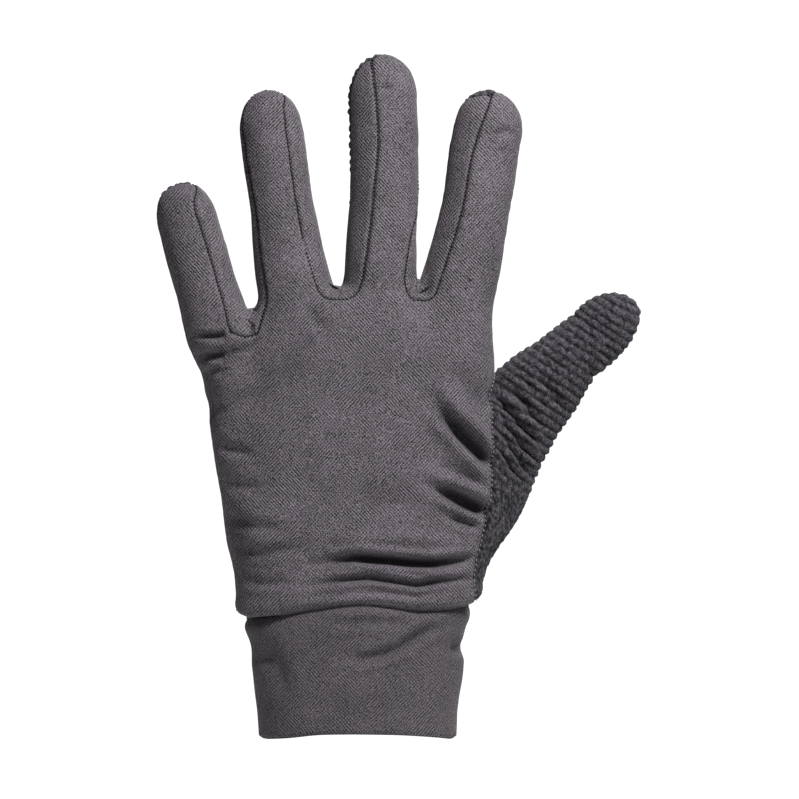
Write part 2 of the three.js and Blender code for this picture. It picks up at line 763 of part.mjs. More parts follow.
function backPanel() {
  const piece = new ClothPiece(handBody, CLOTH);
  const sink = (point) => foldDepth(BACK_FOLDS, point) + wristTuck(point);
  for (const name of Object.keys(FINGERS)) {
    piece.lattice(fingerLattice(name, "front", BACK_COLUMNS), { sink });
  }
  const rows = palmLattice("front", BACK_COLUMNS);
  piece.lattice(rows, { sink, coarse: (r) => r % 2 === 0 });
  return mesh("back_panel", piece.geometry(), SMOOTH_KNIT);
}

function palmPanel() {
  const piece = new ClothPiece(handBody, CLOTH);
  for (const name of Object.keys(FINGERS)) {
    piece.lattice(fingerLattice(name, "rear", PALM_COLUMNS), { sink: wristTuck });
  }
  const rows = palmLattice("rear", PALM_COLUMNS);
  piece.lattice(rows, { sink: wristTuck, coarse: (r) => r % 2 === 0 });
  return mesh("palm_panel", piece.geometry(), RIBBED_FLEECE);
}

// A side strip: down the left finger's right side, round the web and up the next finger.
function sideStrip(web) {
  const rows = [];
  const ups = fingerStations().filter((up) => up <= STRIP_END);
  const shares = Array.from({ length: STRIP_COLUMNS + 1 }, (_, c) => c / STRIP_COLUMNS);
  for (const up of [...ups].reverse()) {
    const seams = seamsOf(web.left, up);
    rows.push(shares.map((t) => fingerRay(web.left, up, mix(seams.frontRight, seams.rearRight, t))));
  }
  for (let w = 1; w < WEB_COLUMNS; w += 1) rows.push(shares.map((t) => webRay(web, w / WEB_COLUMNS, t)));
  for (const up of ups) {
    const seams = seamsOf(web.right, up);
    rows.push(shares.map((t) => fingerRay(web.right, up, mix(seams.frontLeft, seams.rearLeft, t))));
  }
  const piece = new ClothPiece(handBody, CLOTH);
  piece.lattice(rows);
  return mesh(`side_strip_${web.left}_${web.right}`, piece.geometry(), SIDE_KNIT);
}

// Rows of the thumb and the gusset below it. Above the crotch a row goes all the way round;
// below it the row opens between the front and the rear seam.
const CROTCH_ALONG = 86;
const WRIST_ALONG = 14.4;
const REAR_RISE = 0.5; // how far a row's rear end lies above its front end, in the middle
function thumbRow(along, lift) {
  const limb = LIMBS.thumb;
  const shares = Array.from({ length: THUMB_COLUMNS + 1 }, (_, c) => c / THUMB_COLUMNS);
  if (along > CROTCH_ALONG) {
    return shares.map((share) => limbRay(limb, along, share < 1 ? 180 - 360 * share : 180, lift));
  }
  const up = (along - WRIST_ALONG) / (CROTCH_ALONG - WRIST_ALONG);
  const height = (share) => mix(wristHeight(WRIST_RIGHT, "front"), CROTCH_HEIGHT, share);
  const front = chordRay(FRONT_THUMB_SEAM, height(up));
  const rear = chordRay(REAR_THUMB_SEAM, height(up + REAR_RISE * up * (1 - up)));
  const [from, to] = [front, rear].map((ray) => {
    const place = placeOnLimb(limb, ray.pierce(handBody, 0));
    return { along: place.along, angle: (Math.atan2(-place.behind, place.across) * 180) / Math.PI };
  });
  if (to.angle > 0) to.angle -= 360;
  return shares.map((share) => {
    if (share === 0) return front;
    if (share === 1) return rear;
    const angle = mix(from.angle, to.angle, share);
    const end = angle > 0 ? from : to;
    return limbRay(limb, mix(along, end.along, (angle / end.angle) ** 2), angle, lift);
  });
}

// Places from one to another, the last left out, about half a rib apart.
function evenSteps(from, to) {
  const count = Math.round((2 * (from - to)) / RIB_PITCH);
  return Array.from({ length: count }, (_, i) => mix(from, to, i / count));
}

function thumb() {
  const piece = new ClothPiece(handBody, CLOTH);
  const { from } = LIMBS.thumb.cap;
  const rows = [];
  for (let i = THUMB_TIP_ROWS; i > 0; i -= 1) rows.push(thumbRow(from, (90 * i) / THUMB_TIP_ROWS));
  rows.push(...evenSteps(from, CROTCH_ALONG).map((along) => thumbRow(along, 0)));
  rows.push(...evenSteps(CROTCH_ALONG, WRIST_ALONG).map((along) => thumbRow(along, 0)));
  rows.push(thumbRow(WRIST_ALONG, 0));
  const sink = (point) => foldDepth(THUMB_FOLDS, point) + wristTuck(point);
  const rib = (r) => RIB_HEIGHT * ((r % 2) - 0.5);
  piece.lattice(rows, { sink, rib, coarse: (r) => r % INNER_STEP === 0 });
  return mesh("thumb", piece.geometry(), RIBBED_FLEECE);
}

function cuff() {
  const piece = new ClothPiece(cuffBody, CUFF_CLOTH);
  const rows = CUFF_ROWS.map((share) =>
    Array.from({ length: CUFF_COLUMNS + 1 }, (_, c) => {
      const angle = c < CUFF_COLUMNS ? 180 - (360 * c) / CUFF_COLUMNS : 180;
      const { x } = limbRay(LIMBS.cuff, CUFF_TOP, angle).pierce(cuffBody, 0);
      const top = wristHeight(x, angle >= 0 ? "front" : "rear");
      const hem = tableAt(HEM, WRIST_KEY, x).height;
      return limbRay(LIMBS.cuff, mix(top + CUFF_LAP, hem, share), angle);
    }),
  );
  const sink = (point) => {
    const top = CUFF_TUCK * (1 - smoothstep(-aboveWrist(point) / TUCK_REACH));
    const bottom = HEM_TUCK * (1 - smoothstep((point.z - 1) / TUCK_REACH));
    return top + bottom + (point.y < 0 ? foldDepth(CUFF_FOLDS, point) : 0);
  };
  piece.lattice(rows, { sink, coarse: (r) => r % INNER_STEP === 0 });
  return mesh("cuff", piece.geometry(), CUFF_KNIT);
}

const glove = new THREE.Group();
glove.name = "fleece_glove";
glove.add(backPanel(), palmPanel(), ...WEBS.map(sideStrip), thumb(), cuff());
export default glove;
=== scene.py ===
"""A left-hand fleece glove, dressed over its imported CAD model.

The glove keeps the form that it has on a hand. Each piece of cloth is a wall that lies on an
implicit body, a union of limbs, and has its folds, seams, ribs and stitches as real relief.
Sizes are in millimetres until a mesh is made, because the tables are those of the CAD source.
"""

from __future__ import annotations

import logging
import math
from dataclasses import dataclass, field
from enum import Enum
from typing import Callable, Sequence, Union

import bpy
import numpy as np
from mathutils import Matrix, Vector
from mathutils.kdtree import KDTree

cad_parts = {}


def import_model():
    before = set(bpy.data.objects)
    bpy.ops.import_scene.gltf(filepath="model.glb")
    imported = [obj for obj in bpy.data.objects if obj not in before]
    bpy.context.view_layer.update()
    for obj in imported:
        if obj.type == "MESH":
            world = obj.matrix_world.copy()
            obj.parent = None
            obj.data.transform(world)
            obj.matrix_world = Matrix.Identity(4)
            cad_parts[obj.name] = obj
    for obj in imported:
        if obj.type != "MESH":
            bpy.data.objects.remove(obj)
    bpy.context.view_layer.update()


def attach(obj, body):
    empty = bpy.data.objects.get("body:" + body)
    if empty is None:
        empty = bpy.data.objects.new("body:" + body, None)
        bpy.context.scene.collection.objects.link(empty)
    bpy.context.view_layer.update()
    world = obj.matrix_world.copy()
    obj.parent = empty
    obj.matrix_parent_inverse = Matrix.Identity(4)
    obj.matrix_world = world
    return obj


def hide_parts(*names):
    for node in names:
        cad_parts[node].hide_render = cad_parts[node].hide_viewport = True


LOG = logging.getLogger("fleece_glove")
MM = 0.001

# Cloth, its seams and its folds
CLOTH = 1.6
CUFF_CLOTH = 2.4
RIB_PITCH = 2.9
COVER_REACH = 1.2
STITCHES_END = 2.8
WRIST_CLEAR = 6.0
LIP_AWAY = 2.1
LIP_WIDTH = 0.9
LEAST_FADE = 0.12
FRONT_FROM = 0.42
FRONT_SLOPE = 1.3
# Heights and blends of the body
CUFF_TOP = 45.0
CROTCH_HEIGHT = 127.0
FINGER_BLEND = 4.0
THUMB_BLEND = 7.0
CROTCH_BLEND = 1.6
THUMB_BLEND_FROM = 95.0
WRIST_LEFT = -41.0
WRIST_RIGHT = 39.0
# How the rays are laid out
EDGE_INSET = 12.0
START_DEPTH = 5.0
HIDDEN_ANGLE = -15.0
TURN_SHARE = 0.2
SPREAD_DOWN = 0.6
UP_TURN = 0.6
STRAIGHT_DOWN = 1.3
UPPER_CROWDING = 1.3
EVEN_AT_CROTCH = 0.1
EDGE_BAND = 14.0
WEB_WIDENS = 1.5
WEB_RISES = 1.8
TIP_SHARE = 0.28
STRIP_END = 0.93
STRIP_GATHERED = 0.6
CROTCH_ALONG = 86.0
WRIST_ALONG = 14.4
REAR_RISE = 0.5
# The search for a surface
FARTHEST = 90
HALVINGS = 12
NORMAL_STEP = 0.05
TINY = 1e-6
# Numbers that scramble a place into noise
NOISE_TURNS = (127.1, 311.7, 74.7)
NOISE_SPREAD = 43758.5453

Array = np.ndarray
Colour = tuple[float, float, float]
Node = bpy.types.Node
Socket = bpy.types.NodeSocket
Material = bpy.types.Material
Object = bpy.types.Object
NodeValue = Union[Socket, float, Sequence[float]]


class Side(Enum):
    """A face of the hand: its back, which the photograph shows, or its palm."""

    FRONT = "front"
    REAR = "rear"


def mix(low: Array | float, high: Array | float, share: Array | float) -> Array:
    """Value a share of the way from low to high."""
    return low + (high - low) * share


def smoothstep(share: Array | float) -> Array:
    """Eased share, 0 below 0 and 1 above 1."""
    held = np.clip(share, 0.0, 1.0)
    return held * held * (3.0 - 2.0 * held)


def bell(distance: Array, width: float) -> Array:
    """Bell curve, 1 at distance 0 and small beyond twice the width."""
    return np.exp(-((distance / width) ** 2))


@dataclass(frozen=True)
class Table:
    """Rows of numbers with smooth values between them, by their first column."""

    rows: tuple[tuple[float, ...], ...]

    def at(self, key: Array | float) -> Array:
        """Values of the other columns at a key.

        Args:
            key: Values of the first column; those outside the table are clamped.

        Returns:
            Array with one more axis than key, of the other columns' values.
        """
        rows = np.array(sorted(self.rows), float)
        keys = rows[:, 0]
        held = np.clip(np.asarray(key, float), keys[0], keys[-1])
        low = np.clip(np.searchsorted(keys, held, side="left") - 1, 0, len(keys) - 2)
        before = np.maximum(low - 1, 0)
        after = np.minimum(low + 2, len(keys) - 1)
        span = (keys[low + 1] - keys[low])[..., None]
        share = (held - keys[low])[..., None] / span
        slope_in = (rows[low + 1] - rows[before]) / (keys[low + 1] - keys[before])[..., None] * span
        slope_out = (rows[after] - rows[low]) / (keys[after] - keys[low])[..., None] * span
        values = mix(rows[low], rows[low + 1], share * share * (3.0 - 2.0 * share))
        values = values + share * (1.0 - share) ** 2 * slope_in + share * share * (share - 1.0) * slope_out
        return values[..., 1:]


@dataclass
class Rays:
    """Rays from inside the body outwards. Every point of the cloth lies on one."""

    start: Array
    toward: Array

    def __post_init__(self) -> None:
        """Makes every direction one unit long."""
        length = np.linalg.norm(self.toward, axis=-1, keepdims=True)
        self.toward = self.toward / np.maximum(length, TINY)

    def __getitem__(self, index: int | slice | tuple | None) -> Rays:
        """The rays that an index picks."""
        return Rays(self.start[index], self.toward[index])

    @staticmethod
    def joined(parts: Sequence[Rays]) -> Rays:
        """One set of rays from several."""
        starts = np.concatenate([part.start for part in parts])
        return Rays(starts, np.concatenate([part.toward for part in parts]))

    def mixed_with(self, other: Rays, share: Array) -> Rays:
        """Rays a share of the way from these to others."""
        moved = np.asarray(share, float)[..., None]
        return Rays(mix(self.start, other.start, moved), mix(self.toward, other.toward, moved))

    def pierce(self, body: Body, inset: float = 0.0) -> Array:
        """Where each ray leaves a body.

        Args:
            body: The body that the rays start in.
            inset: Depth below its surface to stop at.

        Returns:
            Points, in the shape of the rays.
        """
        start = self.start.reshape(-1, 3)
        toward = self.toward.reshape(-1, 3)
        inside = np.zeros(len(start))
        outside = np.ones(len(start))
        live = np.arange(len(start))
        for _ in range(FARTHEST):
            deep = body.distance(start[live] + toward[live] * outside[live, None]) < -inset
            live = live[deep]
            if not len(live):
                break
            inside[live] = outside[live]
            outside[live] += 1.0
        for _ in range(HALVINGS):
            middle = (inside + outside) / 2.0
            deep = body.distance(start + toward * middle[:, None]) < -inset
            inside = np.where(deep, middle, inside)
            outside = np.where(deep, outside, middle)
        found = start + toward * ((inside + outside) / 2.0)[:, None]
        return found.reshape(self.start.shape)

    def near_surface(self, body: Body) -> Rays:
        """The same rays, started not far below the body's surface."""
        return Rays(self.pierce(body, START_DEPTH), self.toward)


@dataclass(frozen=True)
class Limb:
    """A rounded limb: an axis in the XZ plane with sections along it and a cap at its end.

    Attributes:
        foot: Where the axis starts, in X and Z.
        tilt: Degrees that the axis leans to the right.
        roundness: Power of the sections' outline, 2 for an ellipse.
        cap_from: Place on the axis where the cap starts.
        cap_length: The cap's length.
        cap_roundness: Power of the cap's outline.
        sections: Sections by their place on the axis.
        first: Place of the lowest section.
        cap_shift: How far the cap's end is moved to the right.
    """

    foot: tuple[float, float]
    tilt: float
    roundness: float
    cap_from: float
    cap_length: float
    cap_roundness: float
    sections: Table
    first: float
    cap_shift: float = 0.0

    @property
    def up(self) -> Array:
        """Direction of the axis."""
        lean = math.radians(self.tilt)
        return np.array([math.sin(lean), 0.0, math.cos(lean)])

    @property
    def right(self) -> Array:
        """Direction across the axis, to the right."""
        lean = math.radians(self.tilt)
        return np.array([math.cos(lean), 0.0, -math.sin(lean)])

    def place(self, points: Array) -> tuple[Array, Array, Array, Array]:
        """Where points lie by the axis.

        Args:
            points: Points, (n, 3).

        Returns:
            along, across, behind and the section's values at each point.
        """
        away = points - np.array([self.foot[0], 0.0, self.foot[1]])
        along = away @ self.up
        section = self.sections.at(np.minimum(along, self.cap_from))
        past = np.maximum((along - self.cap_from) / self.cap_length, 0.0)
        across = away @ self.right - section[..., 0] - self.cap_shift * past**2
        return along, across, points[..., 1] - section[..., 2], section

    def distance(self, points: Array) -> Array:
        """Distance to the surface, near enough close to it.

        Args:
            points: Points, (n, 3).

        Returns:
            Distances, negative inside.
        """
        along, across, behind, section = self.place(points)
        half_width, half_depth = section[..., 1], section[..., 3]
        past = np.maximum(np.maximum(along - self.cap_from, self.first - along), 0.0) / self.cap_length
        wide, deep = np.abs(across) / half_width, np.abs(behind) / half_depth
        n, m = self.roundness, self.cap_roundness
        ring = np.maximum((wide**n + deep**n) ** (1.0 / n), TINY)
        size = (ring**m + past**m) ** (1.0 / m)
        around = (ring / size) ** (m - 1.0)
        slope = np.sqrt(
            (around * (wide / ring) ** (n - 1.0) / half_width) ** 2
            + (around * (deep / ring) ** (n - 1.0) / half_depth) ** 2
            + ((past / size) ** (m - 1.0) / self.cap_length) ** 2
        )
        return (size - 1.0) / np.maximum(slope, TINY)

    def rays(self, along: Array, angle: Array, lift: Array | float = 0.0) -> Rays:
        """Rays from the axis.

        Args:
            along: Places on the axis.
            angle: Degrees round it: 0 is its right, 90 the back of the hand, 180 its left.
            lift: Degrees towards the tip.

        Returns:
            Rays in the shape of the arguments.
        """
        along, angle, lift = np.broadcast_arrays(*np.atleast_1d(along, angle, lift))
        section = self.sections.at(along)
        start = np.array([self.foot[0], 0.0, self.foot[1]]) + along[..., None] * self.up
        start = start + section[..., 0:1] * self.right
        start[..., 1] = section[..., 2]
        turned, raised = np.radians(angle)[..., None], np.radians(lift)[..., None]
        level = np.cos(turned) * self.right - np.sin(turned) * np.array([0.0, 1.0, 0.0])
        return Rays(start, level * np.cos(raised) + self.up * np.sin(raised))


class Body:
    """A body under the cloth."""

    def distance(self, points: Array) -> Array:
        """Distance to the surface, negative inside."""
        raise NotImplementedError

    def normals(self, points: Array) -> Array:
        """Directions out of the surface.

        Args:
            points: Points on the surface.

        Returns:
            A direction for each point.
        """
        corners = np.array([[1, -1, -1], [-1, -1, 1], [-1, 1, -1], [1, 1, 1]], float)
        total = sum(corner * self.distance(points + corner * NORMAL_STEP)[..., None] for corner in corners)
        return total / np.maximum(np.linalg.norm(total, axis=-1, keepdims=True), TINY)


def limb(
    foot: tuple[float, float],
    tilt: float,
    roundness: float,
    cap: tuple[float, float, float],
    rows: tuple[tuple[float, ...], ...],
    shift: float = 0.0,
) -> Limb:
    """A limb from one row of its sizes and the rows of its sections."""
    return Limb(foot, tilt, roundness, *cap, Table(rows), rows[0][0], shift)


# Sections: along, across, half width, back, half depth
LIMBS: dict[str, Limb] = {
    "hand": limb((0, 0), 0, 2.5, (126, 30, 3), (
        (36, -1.5, 39.5, 0, 21.5),
        (44, -1.2, 41.2, 0, 20.5),
        (50, -0.6, 42.6, 0, 19.5),
        (58, 0, 44, 0, 18.2),
        (68, -0.2, 46.2, 0, 17.2),
        (82, -0.9, 47.3, 0, 16.4),
        (97, -1.9, 48.8, 0, 15.8),
        (111, -2.8, 49.2, 0, 15),
        (120, -1.5, 47.3, 0, 14.4),
        (128, 1, 45, 0, 13.8),
    )),
    "little": limb((-46.9, 135.1), -16, 2, (44.5, 16, 2.5), (
        (-26, -1.5, 9, 0, 8),
        (-14, -0.4, 10.6, 0, 10.2),
        (-4, 0.3, 11.1, 0, 10.1),
        (6, -0.6, 11.4, 0.1, 9.8),
        (14, -0.5, 11.4, 0.5, 9.5),
        (24, -0.8, 11, 1.2, 9.3),
        (36, -0.7, 10.8, 2.2, 9.2),
        (46, -0.7, 10.6, 3, 9),
    )),
    "ring": limb((-21.0, 145.6), -7, 2, (66, 15.3, 2.15), (
        (-30, 0, 11, 0, 9),
        (-10, -0.4, 13.4, 0, 11.2),
        (4, -0.5, 13.2, 0, 10.8),
        (14, -0.6, 13, 0.2, 10.3),
        (24, -1.2, 12.3, 0.8, 10),
        (40, -1.5, 11.2, 1.8, 9.8),
        (56, -1.9, 11.2, 3, 9.7),
        (68, -2, 11, 4, 9.5),
    )),
    "middle": limb((6.3, 145.6), 1.5, 2, (78, 14.9, 2.0), (
        (-30, 0, 11, 0, 9.4),
        (-10, 0.2, 13, 0, 11.4),
        (4, 0.3, 12.9, 0, 11),
        (12, 0.4, 12.5, 0.2, 10.7),
        (28, 0.5, 12.3, 0.8, 10.4),
        (44, 1, 11.9, 1.8, 10.2),
        (60, 0.8, 11.9, 3, 10),
        (80, -0.4, 11.7, 4.6, 9.8),
    )),
    "index": limb((33.2, 149.1), 10, 2, (63, 14.8, 2.1), (
        (-34, 4, 12, 0, 10),
        (-22, 3, 13.4, 0, 12),
        (-10, 1.2, 13.4, 0, 11.6),
        (2, 0, 13.1, 0, 11),
        (14, 0.1, 13, 0.2, 10.7),
        (24, 0.4, 12.4, 0.6, 10.4),
        (38, 0.9, 11.7, 1.4, 10.2),
        (52, 0.6, 12.2, 2.4, 10.2),
        (64, 0.5, 12, 3.4, 10),
    ), -1.2),
    "thumb": limb((21.0, 40.6), 34, 2, (119, 16.2, 2.2), (
        (6, 1, 11, 1, 10),
        (16, -0.6, 14, 2, 13),
        (32, -6.2, 15.8, 4, 15),
        (48, -8.9, 18.1, 6, 16),
        (64, -11.4, 17.6, 7, 15.4),
        (76, -12.2, 16.6, 7, 14),
        (88, -11, 15.4, 7, 12.6),
        (96, -10, 14.1, 7, 12),
        (104, -8.4, 12, 7, 11.2),
        (112, -6, 11.7, 7.5, 10.6),
        (122, -3.3, 10.8, 8, 10),
    ), 2.6),
    "cuff": limb((0, 0), 0, 2.2, (60, 20, 2), (
        (-6, -0.8, 34.6, 0, 24.4),
        (8, -1, 34.9, 0, 24),
        (18, -0.8, 36.2, 0, 23.4),
        (26, -0.9, 37, 0, 22.6),
        (32, -1.4, 36.9, 0, 21.8),
        (38, -1.7, 38.6, 0, 21.2),
        (41, -1.2, 39.4, 0, 20.9),
        (46, -1.1, 40.8, 0, 20.2),
    )),
}


@dataclass(frozen=True)
class Finger:
    """A finger's feet by its webs and the angles of its seams from web (0) to tip (1)."""

    web_left: float
    web_right: float
    seams: Table


# Seams: up, front left, front right, rear left, rear right
FINGERS: dict[str, Finger] = {
    "little": Finger(2, 10.5, Table((
        (0, 195, 66, 195, -42),
        (0.25, 195, 62, 195, -24),
        (0.45, 195, 61, 195, -16),
        (0.72, 195, 63, 195, -12),
        (0.86, 190, 58, 190, -10),
        (0.93, 184, 14, 184, -8),
        (1, 180, 0, 180, 0),
    ))),
    "ring": Finger(5.5, 13.5, Table((
        (0, 146, 48, 226, -34),
        (0.25, 148, 55, 228, -26),
        (0.6, 156, 57, 228, -20),
        (0.86, 163, 50, 214, -14),
        (0.93, 172, 16, 190, -8),
        (1, 180, 0, 180, 0),
    ))),
    "middle": Finger(13.5, 14.5, Table((
        (0, 123, 42, 214, -40),
        (0.18, 114, 27, 198, -52),
        (0.34, 111, 2, 188, -66),
        (0.6, 103, -7, 174, -72),
        (0.86, 116, -8, 170, -60),
        (0.93, 138, -6, 164, -24),
        (1, 150, 0, 150, 0),
    ))),
    "index": Finger(8.5, 3, Table((
        (0, 128, -15, 218, -15),
        (0.3, 116, -15, 200, -15),
        (0.6, 113, -15, 194, -15),
        (0.8, 103, -13, 188, -13),
        (0.87, 99, -11, 170, -11),
        (0.93, 98, -6, 124, -6),
        (1, 98, 0, 98, 0),
    ))),
}


@dataclass(frozen=True)
class Web:
    """The web between two fingers.

    Attributes:
        left: The finger on its left.
        right: The finger on its right.
        under: Where the rays of its floor start, in X and Z.
        front: Degrees that those rays lean to the front at its front seam.
        rear: Degrees that they lean to the rear at its rear seam.
    """

    left: str
    right: str
    under: tuple[float, float]
    front: float = 46.0
    rear: float = 40.0


WEBS = (
    Web("little", "ring", (-34.6, 132)),
    Web("ring", "middle", (-7.4, 144)),
    Web("middle", "index", (19.4, 145)),
)

# Seams by the thumb: height, start of a ray, its direction
CROTCH_KEY = (CROTCH_HEIGHT, 42.1, 4, 118.1, 0.42, 0, 0.91)
FRONT_THUMB_SEAM = Table((
    CROTCH_KEY,
    (121, 43, 0, 118, 0.38, -0.9, 0.25),
    (114, 46, 0, 114, 0.05, -1, 0),
    (106, 46.2, 0, 106, 0, -1, 0),
    (95, 46.4, 0, 95, 0, -1, 0),
    (80, 44.8, 0, 80, 0, -1, 0),
    (68, 42.2, 0, 68, 0, -1, 0),
    (57, 39.8, 0, 57, 0, -1, 0),
    (44, 38.0, 0, 44, 0.2, -1, 0),
))
REAR_THUMB_SEAM = Table((
    CROTCH_KEY,
    (121, 38, 6, 116, 0.5, 0.9, 0.3),
    (112, 36, 6, 112, 0, 1, 0),
    (100, 30, 6, 100, 0, 1, 0),
    (85, 25, 6, 85, 0, 1, 0),
    (70, 25, 6, 70, 0, 1, 0),
    (57, 30, 4, 57, 0, 1, 0),
    (44, 34, 0, 44, 0.35, 1, 0),
))
# Heights of the wrist seam and of the hem, by the place across the hand
WRIST: dict[Side, Table] = {
    Side.FRONT: Table((
        (-42, 41.2),
        (-37, 40.6),
        (-24, 43.4),
        (-11, 45.2),
        (1, 46.2),
        (14, 45.2),
        (22, 44.4),
        (37, 45.2),
        (42, 45.2),
    )),
    Side.REAR: Table((
        (-42, 41.2),
        (-20, 42.0),
        (10, 43.2),
        (30, 44.8),
        (39, 45.2),
        (42, 45.2),
    )),
}
HEM = Table((
    (-36, -0.5),
    (-24, 0.3),
    (-11, 1.7),
    (8, 1.7),
    (22, 0.8),
    (36, -0.5),
))


class HandBody(Body):
    """The hand with its fingers and thumb, blended where they meet."""

    def distance(self, points: Array) -> Array:
        """Distance to the hand's surface.

        Args:
            points: Points, (n, 3).

        Returns:
            Distances, negative inside.
        """
        found = LIMBS["hand"].distance(points)
        for name in FINGERS:
            found = self._blend(found, LIMBS[name].distance(points), FINGER_BLEND)
        up = smoothstep((points[..., 2] - THUMB_BLEND_FROM) / (CROTCH_HEIGHT - THUMB_BLEND_FROM))
        return self._blend(found, LIMBS["thumb"].distance(points), mix(THUMB_BLEND, CROTCH_BLEND, up))

    @staticmethod
    def _blend(one: Array, other: Array, radius: Array | float) -> Array:
        """The smaller of two distances, rounded where they are nearly equal."""
        near = np.maximum(radius - np.abs(one - other), 0.0) / radius
        return np.minimum(one, other) - near * near * radius / 4.0


class CuffBody(Body):
    """The tube of the cuff."""

    def distance(self, points: Array) -> Array:
        """Distance to the cuff's surface, negative inside."""
        return LIMBS["cuff"].distance(points)


HAND = HandBody()
CUFF = CuffBody()


def finger_rays(name: str, up: Array, angle: Array) -> Rays:
    """Rays of a finger.

    Args:
        name: The finger.
        up: Places from its web (0) to its tip (1).
        angle: Degrees round it.

    Returns:
        Rays in the shape of the arguments.
    """
    form, finger = LIMBS[name], FINGERS[name]
    up, angle = np.broadcast_arrays(up, angle)
    foot = mix(finger.web_left, finger.web_right, 0.5 + 0.5 * np.cos(np.radians(angle)))
    along = mix(foot, form.cap_from, np.clip(up / (1.0 - TIP_SHARE), 0.0, 1.0))
    lift = 90.0 * np.clip((up - 1.0) / TIP_SHARE + 1.0, 0.0, 1.0)
    return form.rays(along, angle, lift)


def seam_rays(keys: Table, height: Array) -> Rays:
    """Rays of a thumb seam at heights."""
    values = keys.at(height)
    return Rays(values[..., :3], values[..., 3:])


def web_rays(web: Web, around: Array, share: float | Array) -> Rays:
    """Rays of a web.

    Args:
        web: The web.
        around: Places from the left finger (0) over the floor (0.5) to the right one (1).
        share: Places from the front seam (0) to the rear one (1).

    Returns:
        Rays in the shape of the arguments.
    """
    around, share = np.broadcast_arrays(around, share)
    left, right = FINGERS[web.left].seams.at(0.0), FINGERS[web.right].seams.at(0.0)
    before = finger_rays(web.left, np.zeros(share.shape), mix(left[1], left[3], share))
    after = finger_rays(web.right, np.zeros(share.shape), mix(right[0], right[2], share))
    rise = np.radians(mix(web.front, -web.rear, share))
    lean = math.radians((LIMBS[web.left].tilt + LIMBS[web.right].tilt) / 2.0)
    toward = np.stack(
        [math.sin(lean) * np.cos(rise), -np.sin(rise), math.cos(lean) * np.cos(rise)], axis=-1
    )
    under = np.broadcast_to(np.array([web.under[0], 0.0, web.under[1]]), toward.shape)
    floor = Rays(under, toward).near_surface(HAND)
    is_left = (around < 0.5)[..., None]
    side = Rays(
        np.where(is_left, before.start, after.start), np.where(is_left, before.toward, after.toward)
    ).near_surface(HAND)
    away = np.abs(2.0 * around - 1.0)[..., None]
    wide, high = 1.0 - (1.0 - away) ** WEB_WIDENS, away**WEB_RISES
    moved = np.concatenate([wide, wide, high], axis=-1)
    return Rays(mix(floor.start, side.start, moved), mix(floor.toward, side.toward, wide))


def hand_rays(side: Side, height: Array, share: Array) -> Rays:
    """Rays across the hand.

    Args:
        side: Back or palm.
        height: Heights of the rays.
        share: Places from the left edge (0) to the thumb's seam (1).

    Returns:
        Rays in the shape of the arguments.
    """
    section = LIMBS["hand"].sections.at(height)
    edge = section[..., 0] - section[..., 1]
    right = seam_rays(FRONT_THUMB_SEAM if side is Side.FRONT else REAR_THUMB_SEAM, height)
    right_edge = right.start[..., 0] + EDGE_INSET * np.maximum(right.toward[..., 0], 0.0)
    zero = np.zeros(height.shape)
    out = -1.0 if side is Side.FRONT else 1.0
    hidden = np.array([-1.0, -math.sin(math.radians(HIDDEN_ANGLE)), 0.0])
    left = Rays(
        np.stack([edge + EDGE_INSET, zero, height], axis=-1), np.broadcast_to(hidden, (*height.shape, 3))
    )
    straight = Rays(
        np.stack([mix(edge, right_edge, share), zero, height], axis=-1),
        np.broadcast_to(np.array([0.0, out, 0.0]), (*height.shape, 3)),
    )
    to_left = np.clip(1.0 - share / TURN_SHARE, 0.0, 1.0)
    to_right = np.clip(1.0 - (1.0 - share) / TURN_SHARE, 0.0, 1.0)
    return straight.mixed_with(left, to_left).mixed_with(right, to_right)


def wrist_height(across: Array, side: Side) -> Array:
    """Height of the wrist seam at places across the hand."""
    return WRIST[side].at(across)[..., 0]


def cloth_noise(points: Array, size: float, seed: float) -> Array:
    """Smooth random numbers from -1 to 1.

    Args:
        points: Points, (n, 3).
        size: Distance over which the numbers change.
        seed: Picks another field of numbers.

    Returns:
        One number for each point.
    """
    cell = points / size + seed
    base = np.floor(cell)
    part = smoothstep(cell - base)
    total = np.zeros(len(points))
    for corner in np.ndindex(2, 2, 2):
        at = base + np.array(corner)
        mixed = np.sin(at @ np.array(NOISE_TURNS)) * NOISE_SPREAD
        weight = np.prod(np.where(np.array(corner) == 1, part, 1.0 - part), axis=1)
        total += weight * (2.0 * (mixed - np.floor(mixed)) - 1.0)
    return total


@dataclass(frozen=True)
class Waves:
    """Soft unevenness of the cloth: its height, its size and the seed of its noise."""

    height: float
    size: float
    seed: float

    def rise(self, points: Array) -> Array:
        """How far the unevenness lifts each point."""
        return self.height * cloth_noise(points, self.size, self.seed)


@dataclass(frozen=True)
class Lump:
    """A place where the cloth bulges, or sinks where its height is negative."""

    centre: tuple[float, float, float]
    radius: float
    height: float

    def rise(self, points: Array) -> Array:
        """How far the lump lifts each point."""
        return self.height * bell(np.linalg.norm(points - np.array(self.centre), axis=1), self.radius)


def risen(rows: Sequence[Waves | Lump], points: Array) -> Array:
    """Total rise of waves or lumps at points."""
    return sum(row.rise(points) for row in rows)


